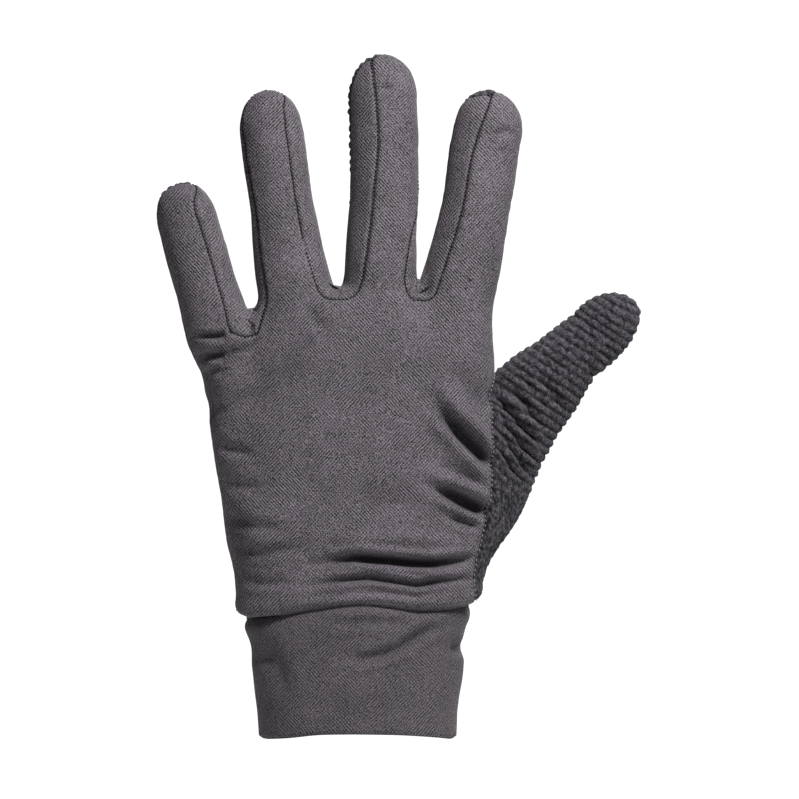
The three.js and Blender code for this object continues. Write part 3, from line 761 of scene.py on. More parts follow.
@dataclass(frozen=True)
class Crease:
    """A crease of the cloth along a line seen from the front, in X and Z.

    Attributes:
        line: Points that it runs through.
        width: Half of its width.
        depth: How deep it sinks; a negative depth is a ridge.
        lip: Height of the swellings beside it, as a share of the depth.
        taper: Share of the line over which each end fades.
    """

    line: tuple[tuple[float, float], ...]
    width: float
    depth: float
    lip: float = 0.25
    taper: float = 0.3

    def sink(self, points: Array) -> Array:
        """How deep the crease sinks.

        Args:
            points: Points, (n, 3).

        Returns:
            Depth at each point.
        """
        line = np.array(self.line, float)
        steps = np.linalg.norm(np.diff(line, axis=0), axis=1)
        before = np.concatenate([[0.0], np.cumsum(steps)])
        flat = points[:, [0, 2]]
        away = np.full(len(points), np.inf)
        place = np.zeros(len(points))
        for i, step in enumerate(steps):
            along = np.clip((flat - line[i]) @ (line[i + 1] - line[i]) / step**2, 0.0, 1.0)
            gap = np.linalg.norm(flat - line[i] - along[:, None] * (line[i + 1] - line[i]), axis=1)
            place = np.where(gap < away, before[i] + along * step, place)
            away = np.minimum(away, gap)
        share = place / before[-1]
        fade = smoothstep(share / self.taper) * smoothstep((1.0 - share) / self.taper)
        lips = bell(away - LIP_AWAY * self.width, LIP_WIDTH * self.width) * self.lip
        return self.depth * mix(LEAST_FADE, 1.0, fade) * (bell(away, self.width) - lips)


def creases_of(rows: Sequence[Crease], points: Array) -> Array:
    """Total sinking of creases at points."""
    return sum((row.sink(points) for row in rows), np.zeros(len(points)))


def placed(name: str, data: bpy.types.ID) -> Object:
    """A new object in the scene.

    Args:
        name: The object's name.
        data: Its mesh, camera or light.

    Returns:
        The object.
    """
    made = bpy.data.objects.new(name, data)
    bpy.context.scene.collection.objects.link(made)
    return made


@dataclass
class ClothWall:
    """A wall of cloth: lattices of rays become an outer face, an inner face and a rim.

    Attributes:
        body: The body that the cloth lies on.
        thickness: The cloth's thickness.
        points: Points of each lattice.
        faces: Faces of each lattice.
        ribs: Place along the ribbed cloth of each lattice's points.
        count: Number of points so far.
        outer: Places on the outer face by vertex number, in metres, once it is finished.
        outward: Directions out of the cloth by vertex number.
    """

    body: Body
    thickness: float
    points: list[Array] = field(default_factory=list)
    faces: list[Array] = field(default_factory=list)
    ribs: list[Array] = field(default_factory=list)
    count: int = 0
    outer: dict[int, Vector] = field(default_factory=dict)
    outward: dict[int, Vector] = field(default_factory=dict)

    def add_lattice(
        self,
        rays: Rays,
        ribs: Array,
        flipped: bool = False,
        top: Array | None = None,
        tip: bool = False,
        closed: Array | None = None,
    ) -> Array:
        """Adds a lattice of rays, with rows going down and columns to the right.

        Args:
            rays: Rays by row and column.
            ribs: Place along the ribbed cloth of each ray.
            flipped: True where the columns run to the left as seen from outside.
            top: Vertex numbers to use for the first row.
            tip: True where the first row is one point.
            closed: True for each row that joins up behind.

        Returns:
            Vertex numbers by row and column.
        """
        rows, columns = rays.start.shape[:2]
        numbers = np.arange(rows * columns).reshape(rows, columns) + self.count
        self.points.append(rays.pierce(self.body).reshape(-1, 3))
        self.ribs.append(np.broadcast_to(ribs, (rows, columns)).reshape(-1))
        self.count += rows * columns
        if top is not None:
            numbers[0] = top
        if tip:
            numbers[0] = numbers[0, 0]
        if closed is not None:
            numbers[closed, -1] = numbers[closed, 0]
        quads = np.stack(
            [numbers[:-1, :-1], numbers[1:, :-1], numbers[1:, 1:], numbers[:-1, 1:]], axis=-1
        ).reshape(-1, 4)
        self.faces.append(quads[:, ::-1] if flipped else quads)
        return numbers

    def finish(
        self, name: str, relief: Callable[[Surface], Array], edge_round: float = 0.0
    ) -> Object:
        """Makes the mesh.

        Args:
            name: The object's name.
            relief: Gives the height of the cloth over the body at each point.
            edge_round: Radius with which both faces turn in at the edges.

        Returns:
            The object, with the attributes rib, seam, raised and cover.
        """
        points, ribs = np.concatenate(self.points), np.concatenate(self.ribs)
        quads = np.concatenate(self.faces)
        used, inverse = np.unique(quads, return_inverse=True)
        quads = inverse.reshape(quads.shape)
        points, ribs = points[used], ribs[used]
        numbers = {int(old): new for new, old in enumerate(used)}
        faces = [tuple(dict.fromkeys(quad)) for quad in quads.tolist()]
        faces = [face for face in faces if len(face) > 2]
        border = self._open_edges(faces)
        surface = Surface(points, self.body.normals(points))
        surface.measure_edges(border)
        height = relief(surface)
        turned = np.clip(1.0 - surface.edge / max(edge_round, TINY), 0.0, 1.0)
        drop = edge_round * (1.0 - np.sqrt(1.0 - turned**2))
        outer = points + surface.normals * (height - drop)[:, None]
        inner = points + surface.normals * (height - self.thickness + drop)[:, None]
        count = len(points)
        back = [tuple(v + count for v in reversed(face)) for face in faces]
        rim = [(b, a, a + count, b + count) for a, b in border]
        made = bpy.data.meshes.new(name)
        made.from_pydata((np.concatenate([outer, inner]) * MM).tolist(), [], faces + back + rim)
        cover = smoothstep(surface.edge / COVER_REACH)
        # seam and raised also steer the knit's painted shade in seam grooves and in folds.
        kept = {"rib": ribs, "seam": surface.edge, "raised": height, "cover": cover}
        for label, values in kept.items():
            made.attributes.new(label, "FLOAT", "POINT")
            hidden = np.zeros(count) if label == "cover" else values
            made.attributes[label].data.foreach_set("value", np.concatenate([values, hidden]))
        made.shade_smooth()
        made.validate()
        made.update()
        self.outer = {old: Vector(outer[new] * MM) for old, new in numbers.items()}
        self.outward = {old: Vector(surface.normals[new]) for old, new in numbers.items()}
        return placed(name, made)

    @staticmethod
    def _open_edges(faces: Sequence[tuple[int, ...]]) -> list[tuple[int, int]]:
        """Edges that only one face has.

        Args:
            faces: Vertex numbers of each face.

        Returns:
            The two ends of each edge, in its face's direction.
        """
        edges: dict[tuple[int, int], None] = {}
        for face in faces:
            for a, b in zip(face, face[1:] + face[:1]):
                if (b, a) in edges:
                    del edges[b, a]
                else:
                    edges[a, b] = None
        return list(edges)


@dataclass
class Surface:
    """The points of a piece of cloth before its relief.

    Attributes:
        points: Points on the body.
        normals: Directions out of the body there.
        edge: Distance of each point to the nearest edge of the piece.
    """

    points: Array
    normals: Array
    edge: Array = field(default_factory=lambda: np.zeros(0))

    def measure_edges(self, border: Sequence[tuple[int, int]]) -> None:
        """Works out the distance of every point to the piece's edge.

        Args:
            border: The two ends of each edge of the piece, as vertex numbers.
        """
        ends = sorted({v for pair in border for v in pair})
        tree = KDTree(len(ends))
        for number, v in enumerate(ends):
            tree.insert(self.points[v], number)
        tree.balance()
        self.edge = np.array([tree.find(point)[2] for point in self.points])

    @property
    def front(self) -> Array:
        """How much each point faces the front, from 0 to 1."""
        return smoothstep(FRONT_FROM - self.normals[:, 1] * FRONT_SLOPE)


@dataclass(frozen=True)
class Seam:
    """The look of a seam: the cloth dives into it and puckers beside it.

    Attributes:
        depth: How deep the cloth dives.
        reach: Half of the width of the dive.
        shoulder: Height of the swelling beside the seam.
        shoulder_away: How far the swelling lies from the seam.
        shoulder_reach: Half of the swelling's width.
        pucker: The puckers.
        pucker_reach: How far they go from the seam.
    """

    depth: float = 0.6
    reach: float = 0.5
    shoulder: float = 0.2
    shoulder_away: float = 1.7
    shoulder_reach: float = 1.0
    pucker: Waves = Waves(0.2, 2.2, 5.0)
    pucker_reach: float = 3.2

    def sink(self, surface: Surface) -> Array:
        """How deep the cloth sinks towards the seam.

        Args:
            surface: The piece of cloth.

        Returns:
            Depth at each point.
        """
        dive = self.depth * bell(surface.edge, self.reach)
        swell = self.shoulder * bell(surface.edge - self.shoulder_away, self.shoulder_reach)
        ripple = self.pucker.rise(surface.points) * bell(surface.edge, self.pucker_reach)
        return dive - swell + ripple


SEAM = Seam()


def above_wrist(points: Array) -> Array:
    """How far points lie above the wrist seam."""
    front, rear = (wrist_height(points[:, 0], side) for side in Side)
    return points[:, 2] - np.where(points[:, 1] < 0, front, rear)


def clear_of_wrist(points: Array) -> Array:
    """Share that is 0 at the wrist seam and 1 well above it."""
    return smoothstep(above_wrist(points) / WRIST_CLEAR)


@dataclass(frozen=True)
class WristRoll:
    """The hand's cloth rolls in over the cuff at the wrist seam.

    Attributes:
        dive: How deep the cloth dives at the seam.
        reach: Half of the width of the dive.
        swell: Height of the swelling above the seam.
        swell_above: How far the swelling lies above the seam.
        swell_reach: Half of the swelling's width.
    """

    dive: float = 2.4
    reach: float = 1.3
    swell: float = 0.8
    swell_above: float = 4.2
    swell_reach: float = 2.6

    def sink(self, points: Array) -> Array:
        """How deep the hand's cloth sinks by the wrist seam.

        Args:
            points: Points, (n, 3).

        Returns:
            Depth at each point.
        """
        above = above_wrist(points)
        swell = self.swell * bell(above - self.swell_above, self.swell_reach)
        return self.dive * bell(above, self.reach) - swell


ROLL = WristRoll()


# Materials and node trees


@dataclass(frozen=True)
class Mottle:
    """Random tone of a cloth.

    Attributes:
        scale: How fine it is, in changes per metre.
        detail: How many finer layers it has.
        low: Raw noise that becomes 0.
        high: Raw noise that becomes 1.
    """

    scale: float
    detail: float
    low: float
    high: float


@dataclass(frozen=True)
class Gloss:
    """How a cloth shines.

    Attributes:
        roughness: Roughness of the shine.
        specular: Level of the shine.
        sheen: Strength of the fibres' sheen.
        sheen_roughness: Roughness of the sheen.
        sheen_tint: Colour of the sheen.
    """

    roughness: float
    specular: float
    sheen: float
    sheen_roughness: float
    sheen_tint: Colour

    def inputs(self) -> dict[str, NodeValue]:
        """The shader's inputs.

        Returns:
            Values by input name.
        """
        return {
            "Roughness": self.roughness,
            "Specular IOR Level": self.specular,
            "Sheen Weight": self.sheen,
            "Sheen Roughness": self.sheen_roughness,
            "Sheen Tint": (*self.sheen_tint, 1.0),
        }


class Nodes:
    """Builds a node tree from short calls."""

    def __init__(self, tree: bpy.types.NodeTree) -> None:
        """Starts with an empty tree."""
        self.tree = tree
        tree.nodes.clear()

    def add(
        self, kind: str, inputs: dict[str | int, NodeValue] | None = None, **settings: str
    ) -> Node:
        """Adds a node.

        Args:
            kind: The node's type.
            inputs: Values or sockets by input name or number.
            settings: The node's own settings.

        Returns:
            The node.
        """
        node = self.tree.nodes.new(kind)
        for name, value in settings.items():
            setattr(node, name, value)
        self.fill(node, inputs or {})
        return node

    def fill(self, node: Node, inputs: dict[str | int, NodeValue]) -> None:
        """Gives a node's inputs their values, or links sockets to them.

        Args:
            node: The node.
            inputs: Values or sockets by input name or number.
        """
        for name, value in inputs.items():
            if isinstance(value, Socket):
                self.tree.links.new(value, node.inputs[name])
            else:
                node.inputs[name].default_value = value

    def math(self, operation: str, *values: NodeValue) -> Socket:
        """Result of a Math node."""
        return self.add("ShaderNodeMath", dict(enumerate(values)), operation=operation).outputs[0]

    def vector(self, operation: str, *values: NodeValue) -> Socket:
        """Result of a Vector Math node."""
        return self.add("ShaderNodeVectorMath", dict(enumerate(values)), operation=operation).outputs[0]

    def scaled(self, vector: Socket, size: NodeValue) -> Socket:
        """A vector times a number."""
        node = self.add("ShaderNodeVectorMath", {"Vector": vector, "Scale": size}, operation="SCALE")
        return node.outputs[0]

    def mixed(self, share: NodeValue, low: NodeValue, high: NodeValue) -> Socket:
        """A number between two."""
        return self.add("ShaderNodeMix", {0: share, 2: low, 3: high}).outputs[0]

    def colours(self, share: Socket, low: NodeValue, high: NodeValue) -> Socket:
        """A colour between two.

        Args:
            share: Place between the two.
            low: Colour, or socket with one, at share 0.
            high: Colour, or socket with one, at share 1.

        Returns:
            The mixed colour.
        """
        node = self.add("ShaderNodeMix", data_type="RGBA")
        ends = [socket for socket in node.inputs if socket.type == "RGBA"]
        for end, colour in zip(ends, (low, high)):
            if isinstance(colour, Socket):
                self.tree.links.new(colour, end)
            else:
                end.default_value = (*colour, 1.0)
        self.tree.links.new(share, node.inputs[0])
        return next(socket for socket in node.outputs if socket.type == "RGBA")

    def stretched(self, value: NodeValue, low: float, high: float, least: float = 0.0) -> Socket:
        """A value's place between two others, from least to 1."""
        ends = {"From Min": low, "From Max": high, "To Min": least}
        return self.add("ShaderNodeMapRange", {"Value": value} | ends).outputs[0]

    def split(self, vector: Socket) -> bpy.types.NodeOutputs:
        """The X, Y and Z of a vector."""
        return self.add("ShaderNodeSeparateXYZ", {0: vector}).outputs

    def mottled(self, place: Socket, look: Mottle) -> Socket:
        """Random tone of a cloth, from 0 to 1."""
        inputs = {"Vector": place, "Scale": look.scale, "Detail": look.detail}
        return self.stretched(self.add("ShaderNodeTexNoise", inputs).outputs[0], look.low, look.high)

    def kept(self, name: str) -> Socket:
        """A number that the mesh keeps under a name."""
        return self.add("ShaderNodeAttribute", attribute_name=name).outputs["Fac"]

    def bump(self, height: NodeValue, distance: float, strength: float = 1.0) -> Socket:
        """Normals of a relief of small height, in metres."""
        inputs = {"Height": height, "Distance": distance, "Strength": strength}
        return self.add("ShaderNodeBump", inputs).outputs[0]


class Finish:
    """A finish of the glove, built as a material."""

    name: str

    def build(self) -> Material:
        """Makes the material.

        Returns:
            The material.
        """
        made = bpy.data.materials.new(self.name)
        made.use_nodes = True
        nodes = Nodes(made.node_tree)
        shader = nodes.add("ShaderNodeBsdfPrincipled")
        self.dress(nodes, shader)
        nodes.add("ShaderNodeOutputMaterial", {"Surface": shader.outputs[0]})
        return made

    def dress(self, nodes: Nodes, shader: Node) -> None:
        """Adds the finish's own nodes and values to a shader."""
        raise NotImplementedError


@dataclass(frozen=True)
class KnitFinish(Finish):
    """Smooth jersey with fine crossing lines of loops.

    Attributes:
        name: The material's name.
        dark: Colour between the loops, and the colour that the painted shade in folds and seam grooves
            darkens towards.
        light: Colour of the loops.
        pitch: Distance between the lines of loops, in metres.
        lean: Degrees that the lines lean.
        relief: Height of the loops, in metres.
        wander: How far the lines wander, in metres.
        wander_scale: How often they wander, in changes per metre.
        patches: Where one direction of the lines is the stronger one.
        grain: The yarn's fine grain.
        clouds: Larger soft changes of tone.
        shares: Shares of the grain, the loops and the clouds in the tone.
        tones: Tones that become the dark and the light colour.
        sideways: How far the cloth faces sideways where the lines turn to that side.
        upwards: How far it faces up where they turn to the top.
        seam_groove_shade: Distances from a seam, in millimetres, where the painted shade in the seam's
            groove would be full and where it ends.
        folds: Heights of the cloth, in millimetres, where the painted shade in a fold is darkest and where
            it ends.
        fold_shade_tone: Tone that the painted shade leaves where a fold is deepest.
        grain_height: Height of the grain as a share of the loops'.
        gloss: How it shines.
    """

    name: str
    dark: Colour
    light: Colour
    pitch: float = 0.0009
    lean: float = 43.0
    relief: float = 0.00016
    wander: float = 0.0009
    wander_scale: float = 160.0
    patches: Mottle = Mottle(55.0, 1.0, 0.35, 0.65)
    grain: Mottle = Mottle(2300.0, 1.0, 0.3, 0.7)
    clouds: Mottle = Mottle(70.0, 5.0, 0.3, 0.7)
    shares: tuple[float, float, float] = (0.5, 0.4, 0.1)
    tones: tuple[float, float] = (0.25, 0.87)
    sideways: tuple[float, float] = (0.6, 0.8)
    upwards: tuple[float, float] = (0.65, 0.85)
    seam_groove_shade: tuple[float, float] = (-0.5, 0.5)
    folds: tuple[float, float] = (-4.2, -0.6)
    fold_shade_tone: float = 0.3
    grain_height: float = 0.9
    gloss: Gloss = Gloss(0.7, 0.35, 0.1, 0.4, (0.9, 0.86, 0.92))

    def _lines(self, nodes: Nodes, across: NodeValue, up: NodeValue, patches: NodeValue) -> Socket:
        """Crossing lines of loops over two coordinates.

        Args:
            nodes: Builder of the material's tree.
            across: The first coordinate.
            up: The second coordinate.
            patches: Share of the second direction of the lines.

        Returns:
            The lines, from 0 to 1.
        """
        turn = 2.0 * math.pi / self.pitch
        x_part = nodes.math("MULTIPLY", across, turn * math.cos(math.radians(self.lean)))
        z_part = nodes.math("MULTIPLY", up, turn * math.sin(math.radians(self.lean)))
        one = nodes.math("SINE", nodes.math("ADD", x_part, z_part))
        other = nodes.math("SINE", nodes.math("SUBTRACT", x_part, z_part))
        return nodes.math("MULTIPLY_ADD", nodes.mixed(patches, one, other), 0.5, 0.5)

    def _loops(self, nodes: Nodes, place: Socket) -> Socket:
        """Loops on every side of the glove.

        Args:
            nodes: Builder of the material's tree.
            place: Place on the glove.

        Returns:
            The loops, from 0 to 1.
        """
        noise = nodes.add("ShaderNodeTexNoise", {"Vector": place, "Scale": self.wander_scale})
        wander = nodes.scaled(noise.outputs["Color"], self.wander)
        moved = nodes.split(nodes.vector("ADD", place, wander))
        facing = nodes.split(nodes.add("ShaderNodeNewGeometry").outputs["Normal"])
        patches = nodes.mottled(place, self.patches)
        front = self._lines(nodes, moved["X"], moved["Z"], patches)
        side = self._lines(nodes, moved["Y"], moved["Z"], patches)
        above = self._lines(nodes, moved["X"], moved["Y"], patches)
        sideways = nodes.stretched(nodes.math("ABSOLUTE", facing["X"]), *self.sideways)
        upwards = nodes.stretched(nodes.math("ABSOLUTE", facing["Z"]), *self.upwards)
        return nodes.mixed(upwards, nodes.mixed(sideways, front, side), above)

    def dress(self, nodes: Nodes, shader: Node) -> None:
        """Loops as colour and bump, with painted shade in the seam grooves and in the folds.

        Args:
            nodes: Builder of the material's tree.
            shader: The material's shader.
        """
        place = nodes.add("ShaderNodeTexCoord").outputs["Object"]
        loops = self._loops(nodes, place)
        grain = nodes.mottled(place, self.grain)
        clouds = nodes.mottled(place, self.clouds)
        of_grain, of_loops, of_clouds = self.shares
        tone = nodes.math("MULTIPLY_ADD", grain, of_grain, nodes.math("MULTIPLY", loops, of_loops))
        tone = nodes.stretched(nodes.math("MULTIPLY_ADD", clouds, of_clouds, tone), *self.tones)
        # Painted shade: the colour darkens towards each seam's groove, where shade falls.
        tone = nodes.math("MULTIPLY", tone, nodes.stretched(nodes.kept("seam"), *self.seam_groove_shade))
        # Painted shade: the colour darkens where a fold sinks the cloth, by its height.
        shade = nodes.stretched(nodes.kept("raised"), *self.folds, least=self.fold_shade_tone)
        tone = nodes.math("MULTIPLY", tone, shade)
        height = nodes.math("MULTIPLY_ADD", grain, self.grain_height, loops)
        look = {"Base Color": nodes.colours(tone, self.dark, self.light)}
        nodes.fill(shader, look | {"Normal": nodes.bump(height, self.relief)} | self.gloss.inputs())


@dataclass(frozen=True)
class FleeceFinish(Finish):
    """Looped fleece in mottled yarn, with painted shade between its ribs and loops.

    Attributes:
        name: The material's name.
        deep: Colour of the painted shade in the dips between ribs and loops.
        dark: Colour of the dark yarn.
        light: Colour of the light fibres.
        relief: Height of the loops, in metres.
        fibres: The light fibres.
        specks: Finer specks of yarn.
        speck_share: Share of the specks in the tone.
        hollow_shade: Kept relief where the painted shade is full and where it ends.
        gloss: How it shines.
    """

    name: str
    deep: Colour
    dark: Colour
    light: Colour
    relief: float = 0.0003
    fibres: Mottle = Mottle(800.0, 3.0, 0.35, 0.7)
    specks: Mottle = Mottle(1900.0, 2.0, 0.4, 0.72)
    speck_share: float = 0.55
    hollow_shade: tuple[float, float] = (0.2, 0.95)
    gloss: Gloss = Gloss(0.9, 0.15, 0.12, 0.5, (0.86, 0.84, 0.92))

    def dress(self, nodes: Nodes, shader: Node) -> None:
        """Mottled fibres over the ribs' own relief, with painted shade in its dips.

        Args:
            nodes: Builder of the material's tree.
            shader: The material's shader.
        """
        place = nodes.add("ShaderNodeTexCoord").outputs["Object"]
        fibres = nodes.mottled(place, self.fibres)
        specks = nodes.mottled(place, self.specks)
        speckled = nodes.math("MULTIPLY", specks, self.speck_share)
        tone = nodes.math("MULTIPLY_ADD", fibres, 1.0 - self.speck_share, speckled)
        yarn = nodes.colours(tone, self.dark, self.light)
        # Painted shade: the colour goes to the deep colour where the kept relief is low, between ribs and
        # loops.
        raised = nodes.stretched(nodes.kept("relief"), *self.hollow_shade)
        look = {"Base Color": nodes.colours(raised, self.deep, yarn)}
        look["Normal"] = nodes.bump(nodes.math("ADD", fibres, specks), self.relief)
        nodes.fill(shader, look | self.gloss.inputs())


@dataclass(frozen=True)
class ThreadFinish(Finish):
    """Twisted sewing thread.

    Attributes:
        name: The material's name.
        dark: Colour between the strands.
        light: Colour of the strands.
        scale: How fine the strands are, in changes per metre.
        relief: Height of the strands, in metres.
        strength: Strength of their relief.
        roughness: Roughness of the shine.
    """

    name: str
    dark: Colour
    light: Colour
    scale: float = 2600.0
    relief: float = 0.00005
    strength: float = 0.8
    roughness: float = 0.6

    def dress(self, nodes: Nodes, shader: Node) -> None:
        """Strands as fine colour variation and bump.

        Args:
            nodes: Builder of the material's tree.
            shader: The material's shader.
        """
        place = nodes.add("ShaderNodeTexCoord").outputs["Object"]
        strands = nodes.add("ShaderNodeTexNoise", {"Vector": place, "Scale": self.scale}).outputs[0]
        look = {"Base Color": nodes.colours(strands, self.dark, self.light), "Roughness": self.roughness}
        nodes.fill(shader, look | {"Normal": nodes.bump(strands, self.relief, self.strength)})


@dataclass(frozen=True)
class FloorFinish(Finish):
    """Plain white studio floor.

    Attributes:
        name: The material's name.
        colour: Its colour.
        roughness: Roughness of the shine.
    """

    name: str = "studio_floor"
    colour: Colour = (0.85, 0.85, 0.85)
    roughness: float = 0.9

    def dress(self, nodes: Nodes, shader: Node) -> None:
        """Pale and dull."""
        nodes.fill(shader, {"Base Color": (*self.colour, 1.0), "Roughness": self.roughness})


class GeometryTree:
    """A Geometry Nodes modifier with named inputs, built in steps and applied at the end."""

    def __init__(self, name: str, sizes: dict[str, float]) -> None:
        """Makes the tree with an input for each size.

        Args:
            name: The tree's name.
            sizes: Values by input name.
        """
        self.sizes = sizes
        self.tree = bpy.data.node_groups.new(name, "GeometryNodeTree")
        self.tree.interface.new_socket("Geometry", in_out="INPUT", socket_type="NodeSocketGeometry")
        self.sockets = {}
        for label in sizes:
            made = self.tree.interface.new_socket(label, in_out="INPUT", socket_type="NodeSocketFloat")
            self.sockets[label] = made.identifier
        self.tree.interface.new_socket("Geometry", in_out="OUTPUT", socket_type="NodeSocketGeometry")
        self.nodes = Nodes(self.tree)
        self.input = self.nodes.add("NodeGroupInput").outputs

    def attribute(self, name: str, kind: str = "FLOAT") -> Socket:
        """A named attribute of the geometry."""
        node = self.nodes.add("GeometryNodeInputNamedAttribute", {"Name": name}, data_type=kind)
        return node.outputs["Attribute"]

    def close(self, geometry: Socket, material: Material) -> None:
        """Ends the tree in Realize Instances and Set Material.

        Args:
            geometry: The tree's result so far.
            material: Its material.
        """
        real = self.nodes.add("GeometryNodeRealizeInstances", {0: geometry}).outputs[0]
        painted = self.nodes.add("GeometryNodeSetMaterial", {"Geometry": real, "Material": material})
        self.nodes.add("NodeGroupOutput", {0: painted.outputs[0]})

    def apply(self, piece: Object) -> Object:
        """Runs the tree on a piece and makes the result its plain mesh.

        Args:
            piece: The piece.

        Returns:
            The same piece.
        """
        modifier = piece.modifiers.new(self.tree.name, "NODES")
        modifier.node_group = self.tree
        for label, value in self.sizes.items():
            modifier[self.sockets[label]] = value
        bpy.context.view_layer.update()
        evaluated = piece.evaluated_get(bpy.context.evaluated_depsgraph_get())
        made = bpy.data.meshes.new_from_object(evaluated)
        made.name = piece.name
        piece.modifiers.clear()
        piece.data = made
        return piece


@dataclass(frozen=True)
class RibbedRelief:
    """Ribs of looped fleece: rows of knots, each row shifted by half a knot.

    Attributes:
        pitch: Distance between two ribs.
        height: Height of a rib.
        roundness: Power of a rib's section, smaller for a rounder rib.
        knot: Distance between two knots of a rib.
        knot_roundness: Power of a knot's section.
        round_share: Share of a step from front to rear that counts as one across.
        notch: How far the rib falls between its knots, as a share of its height.
        fuzz: Height of the uneven loops.
        fuzz_scale: How fine the loops are, in changes per metre.
        seed: Picks another field of loops.
        level: Height of plain fleece as a share of a rib's.
        loops: Strength of the loops in the kept relief, which the fleece's painted shade follows.
        plain_loops: How much stronger they are in plain fleece.
    """

    pitch: float = RIB_PITCH
    height: float = 0.7
    roundness: float = 0.75
    knot: float = 2.4
    knot_roundness: float = 0.6
    round_share: float = 0.9
    notch: float = 0.45
    fuzz: float = 1.2
    fuzz_scale: float = 720.0
    seed: float = 4.0
    level: float = 0.45
    loops: float = 2.2
    plain_loops: float = 3.0

    def _rib(self, made: GeometryTree, place: Socket) -> Socket:
        """Height of the knotted ribs.

        Args:
            made: The tree.
            place: Place on the glove.

        Returns:
            Height from 0 to 1.
        """
        nodes, given = made.nodes, made.input
        turn = nodes.math("DIVIDE", made.attribute("rib"), given["Pitch"])
        wave = nodes.math("SINE", nodes.math("MULTIPLY", turn, math.pi))
        ridge = nodes.math("POWER", nodes.math("ABSOLUTE", wave), self.roundness)
        odd = nodes.math("MULTIPLY", nodes.math("FLOOR", turn), 0.5)
        split = nodes.split(place)
        round_it = nodes.math("MULTIPLY_ADD", split["Y"], self.round_share, split["X"])
        across = nodes.math("DIVIDE", nodes.math("MULTIPLY", round_it, 1.0 / MM), given["Knot"])
        beat = nodes.math("SINE", nodes.math("MULTIPLY", nodes.math("ADD", across, odd), math.pi))
        knots = nodes.math("POWER", nodes.math("ABSOLUTE", beat), self.knot_roundness)
        lost = nodes.math("MULTIPLY", given["Notch"], nodes.math("SUBTRACT", 1.0, knots))
        return nodes.math("MULTIPLY", ridge, nodes.math("SUBTRACT", 1.0, lost))

    def tree(self, material: Material) -> GeometryTree:
        """The tree that raises the ribs along the attribute rib.

        Args:
            material: The fleece's material.

        Returns:
            The tree.
        """
        sizes = {"Pitch": self.pitch, "Height": self.height * MM, "Knot": self.knot, "Notch": self.notch}
        made = GeometryTree("fleece_ribs", sizes | {"Fuzz": self.fuzz * MM, "Seed": self.seed})
        nodes, given = made.nodes, made.input
        place = nodes.add("GeometryNodeInputPosition").outputs[0]
        rib = self._rib(made, place)
        inputs = {"Vector": place, "W": given["Seed"], "Scale": self.fuzz_scale, "Detail": 2.0}
        noise = nodes.add("ShaderNodeTexNoise", inputs, noise_dimensions="4D").outputs[0]
        loops = nodes.math("SUBTRACT", noise, 0.5)
        plain = made.attribute("plain")
        ribbed = nodes.math("SUBTRACT", 1.0, plain)
        rib = nodes.math("MULTIPLY_ADD", nodes.math("SUBTRACT", rib, self.level), ribbed, self.level)
        strength = nodes.math("MULTIPLY_ADD", plain, self.plain_loops, self.loops)
        # The kept relief is the mask of the fleece's painted shade between ribs and loops.
        relief = {"Name": "relief", "Value": nodes.math("MULTIPLY_ADD", loops, strength, rib)}
        inputs = {"Geometry": given["Geometry"]} | relief
        kept = nodes.add("GeometryNodeStoreNamedAttribute", inputs, data_type="FLOAT").outputs[0]
        raised = nodes.math("MULTIPLY", rib, given["Height"])
        rise = nodes.math("MULTIPLY_ADD", loops, given["Fuzz"], raised)
        rise = nodes.math("MULTIPLY", rise, made.attribute("cover"))
        offset = nodes.scaled(nodes.add("GeometryNodeInputNormal").outputs[0], rise)
        moved = nodes.add("GeometryNodeSetPosition", {"Geometry": kept, "Offset": offset})
        made.close(moved.outputs[0], material)
        return made


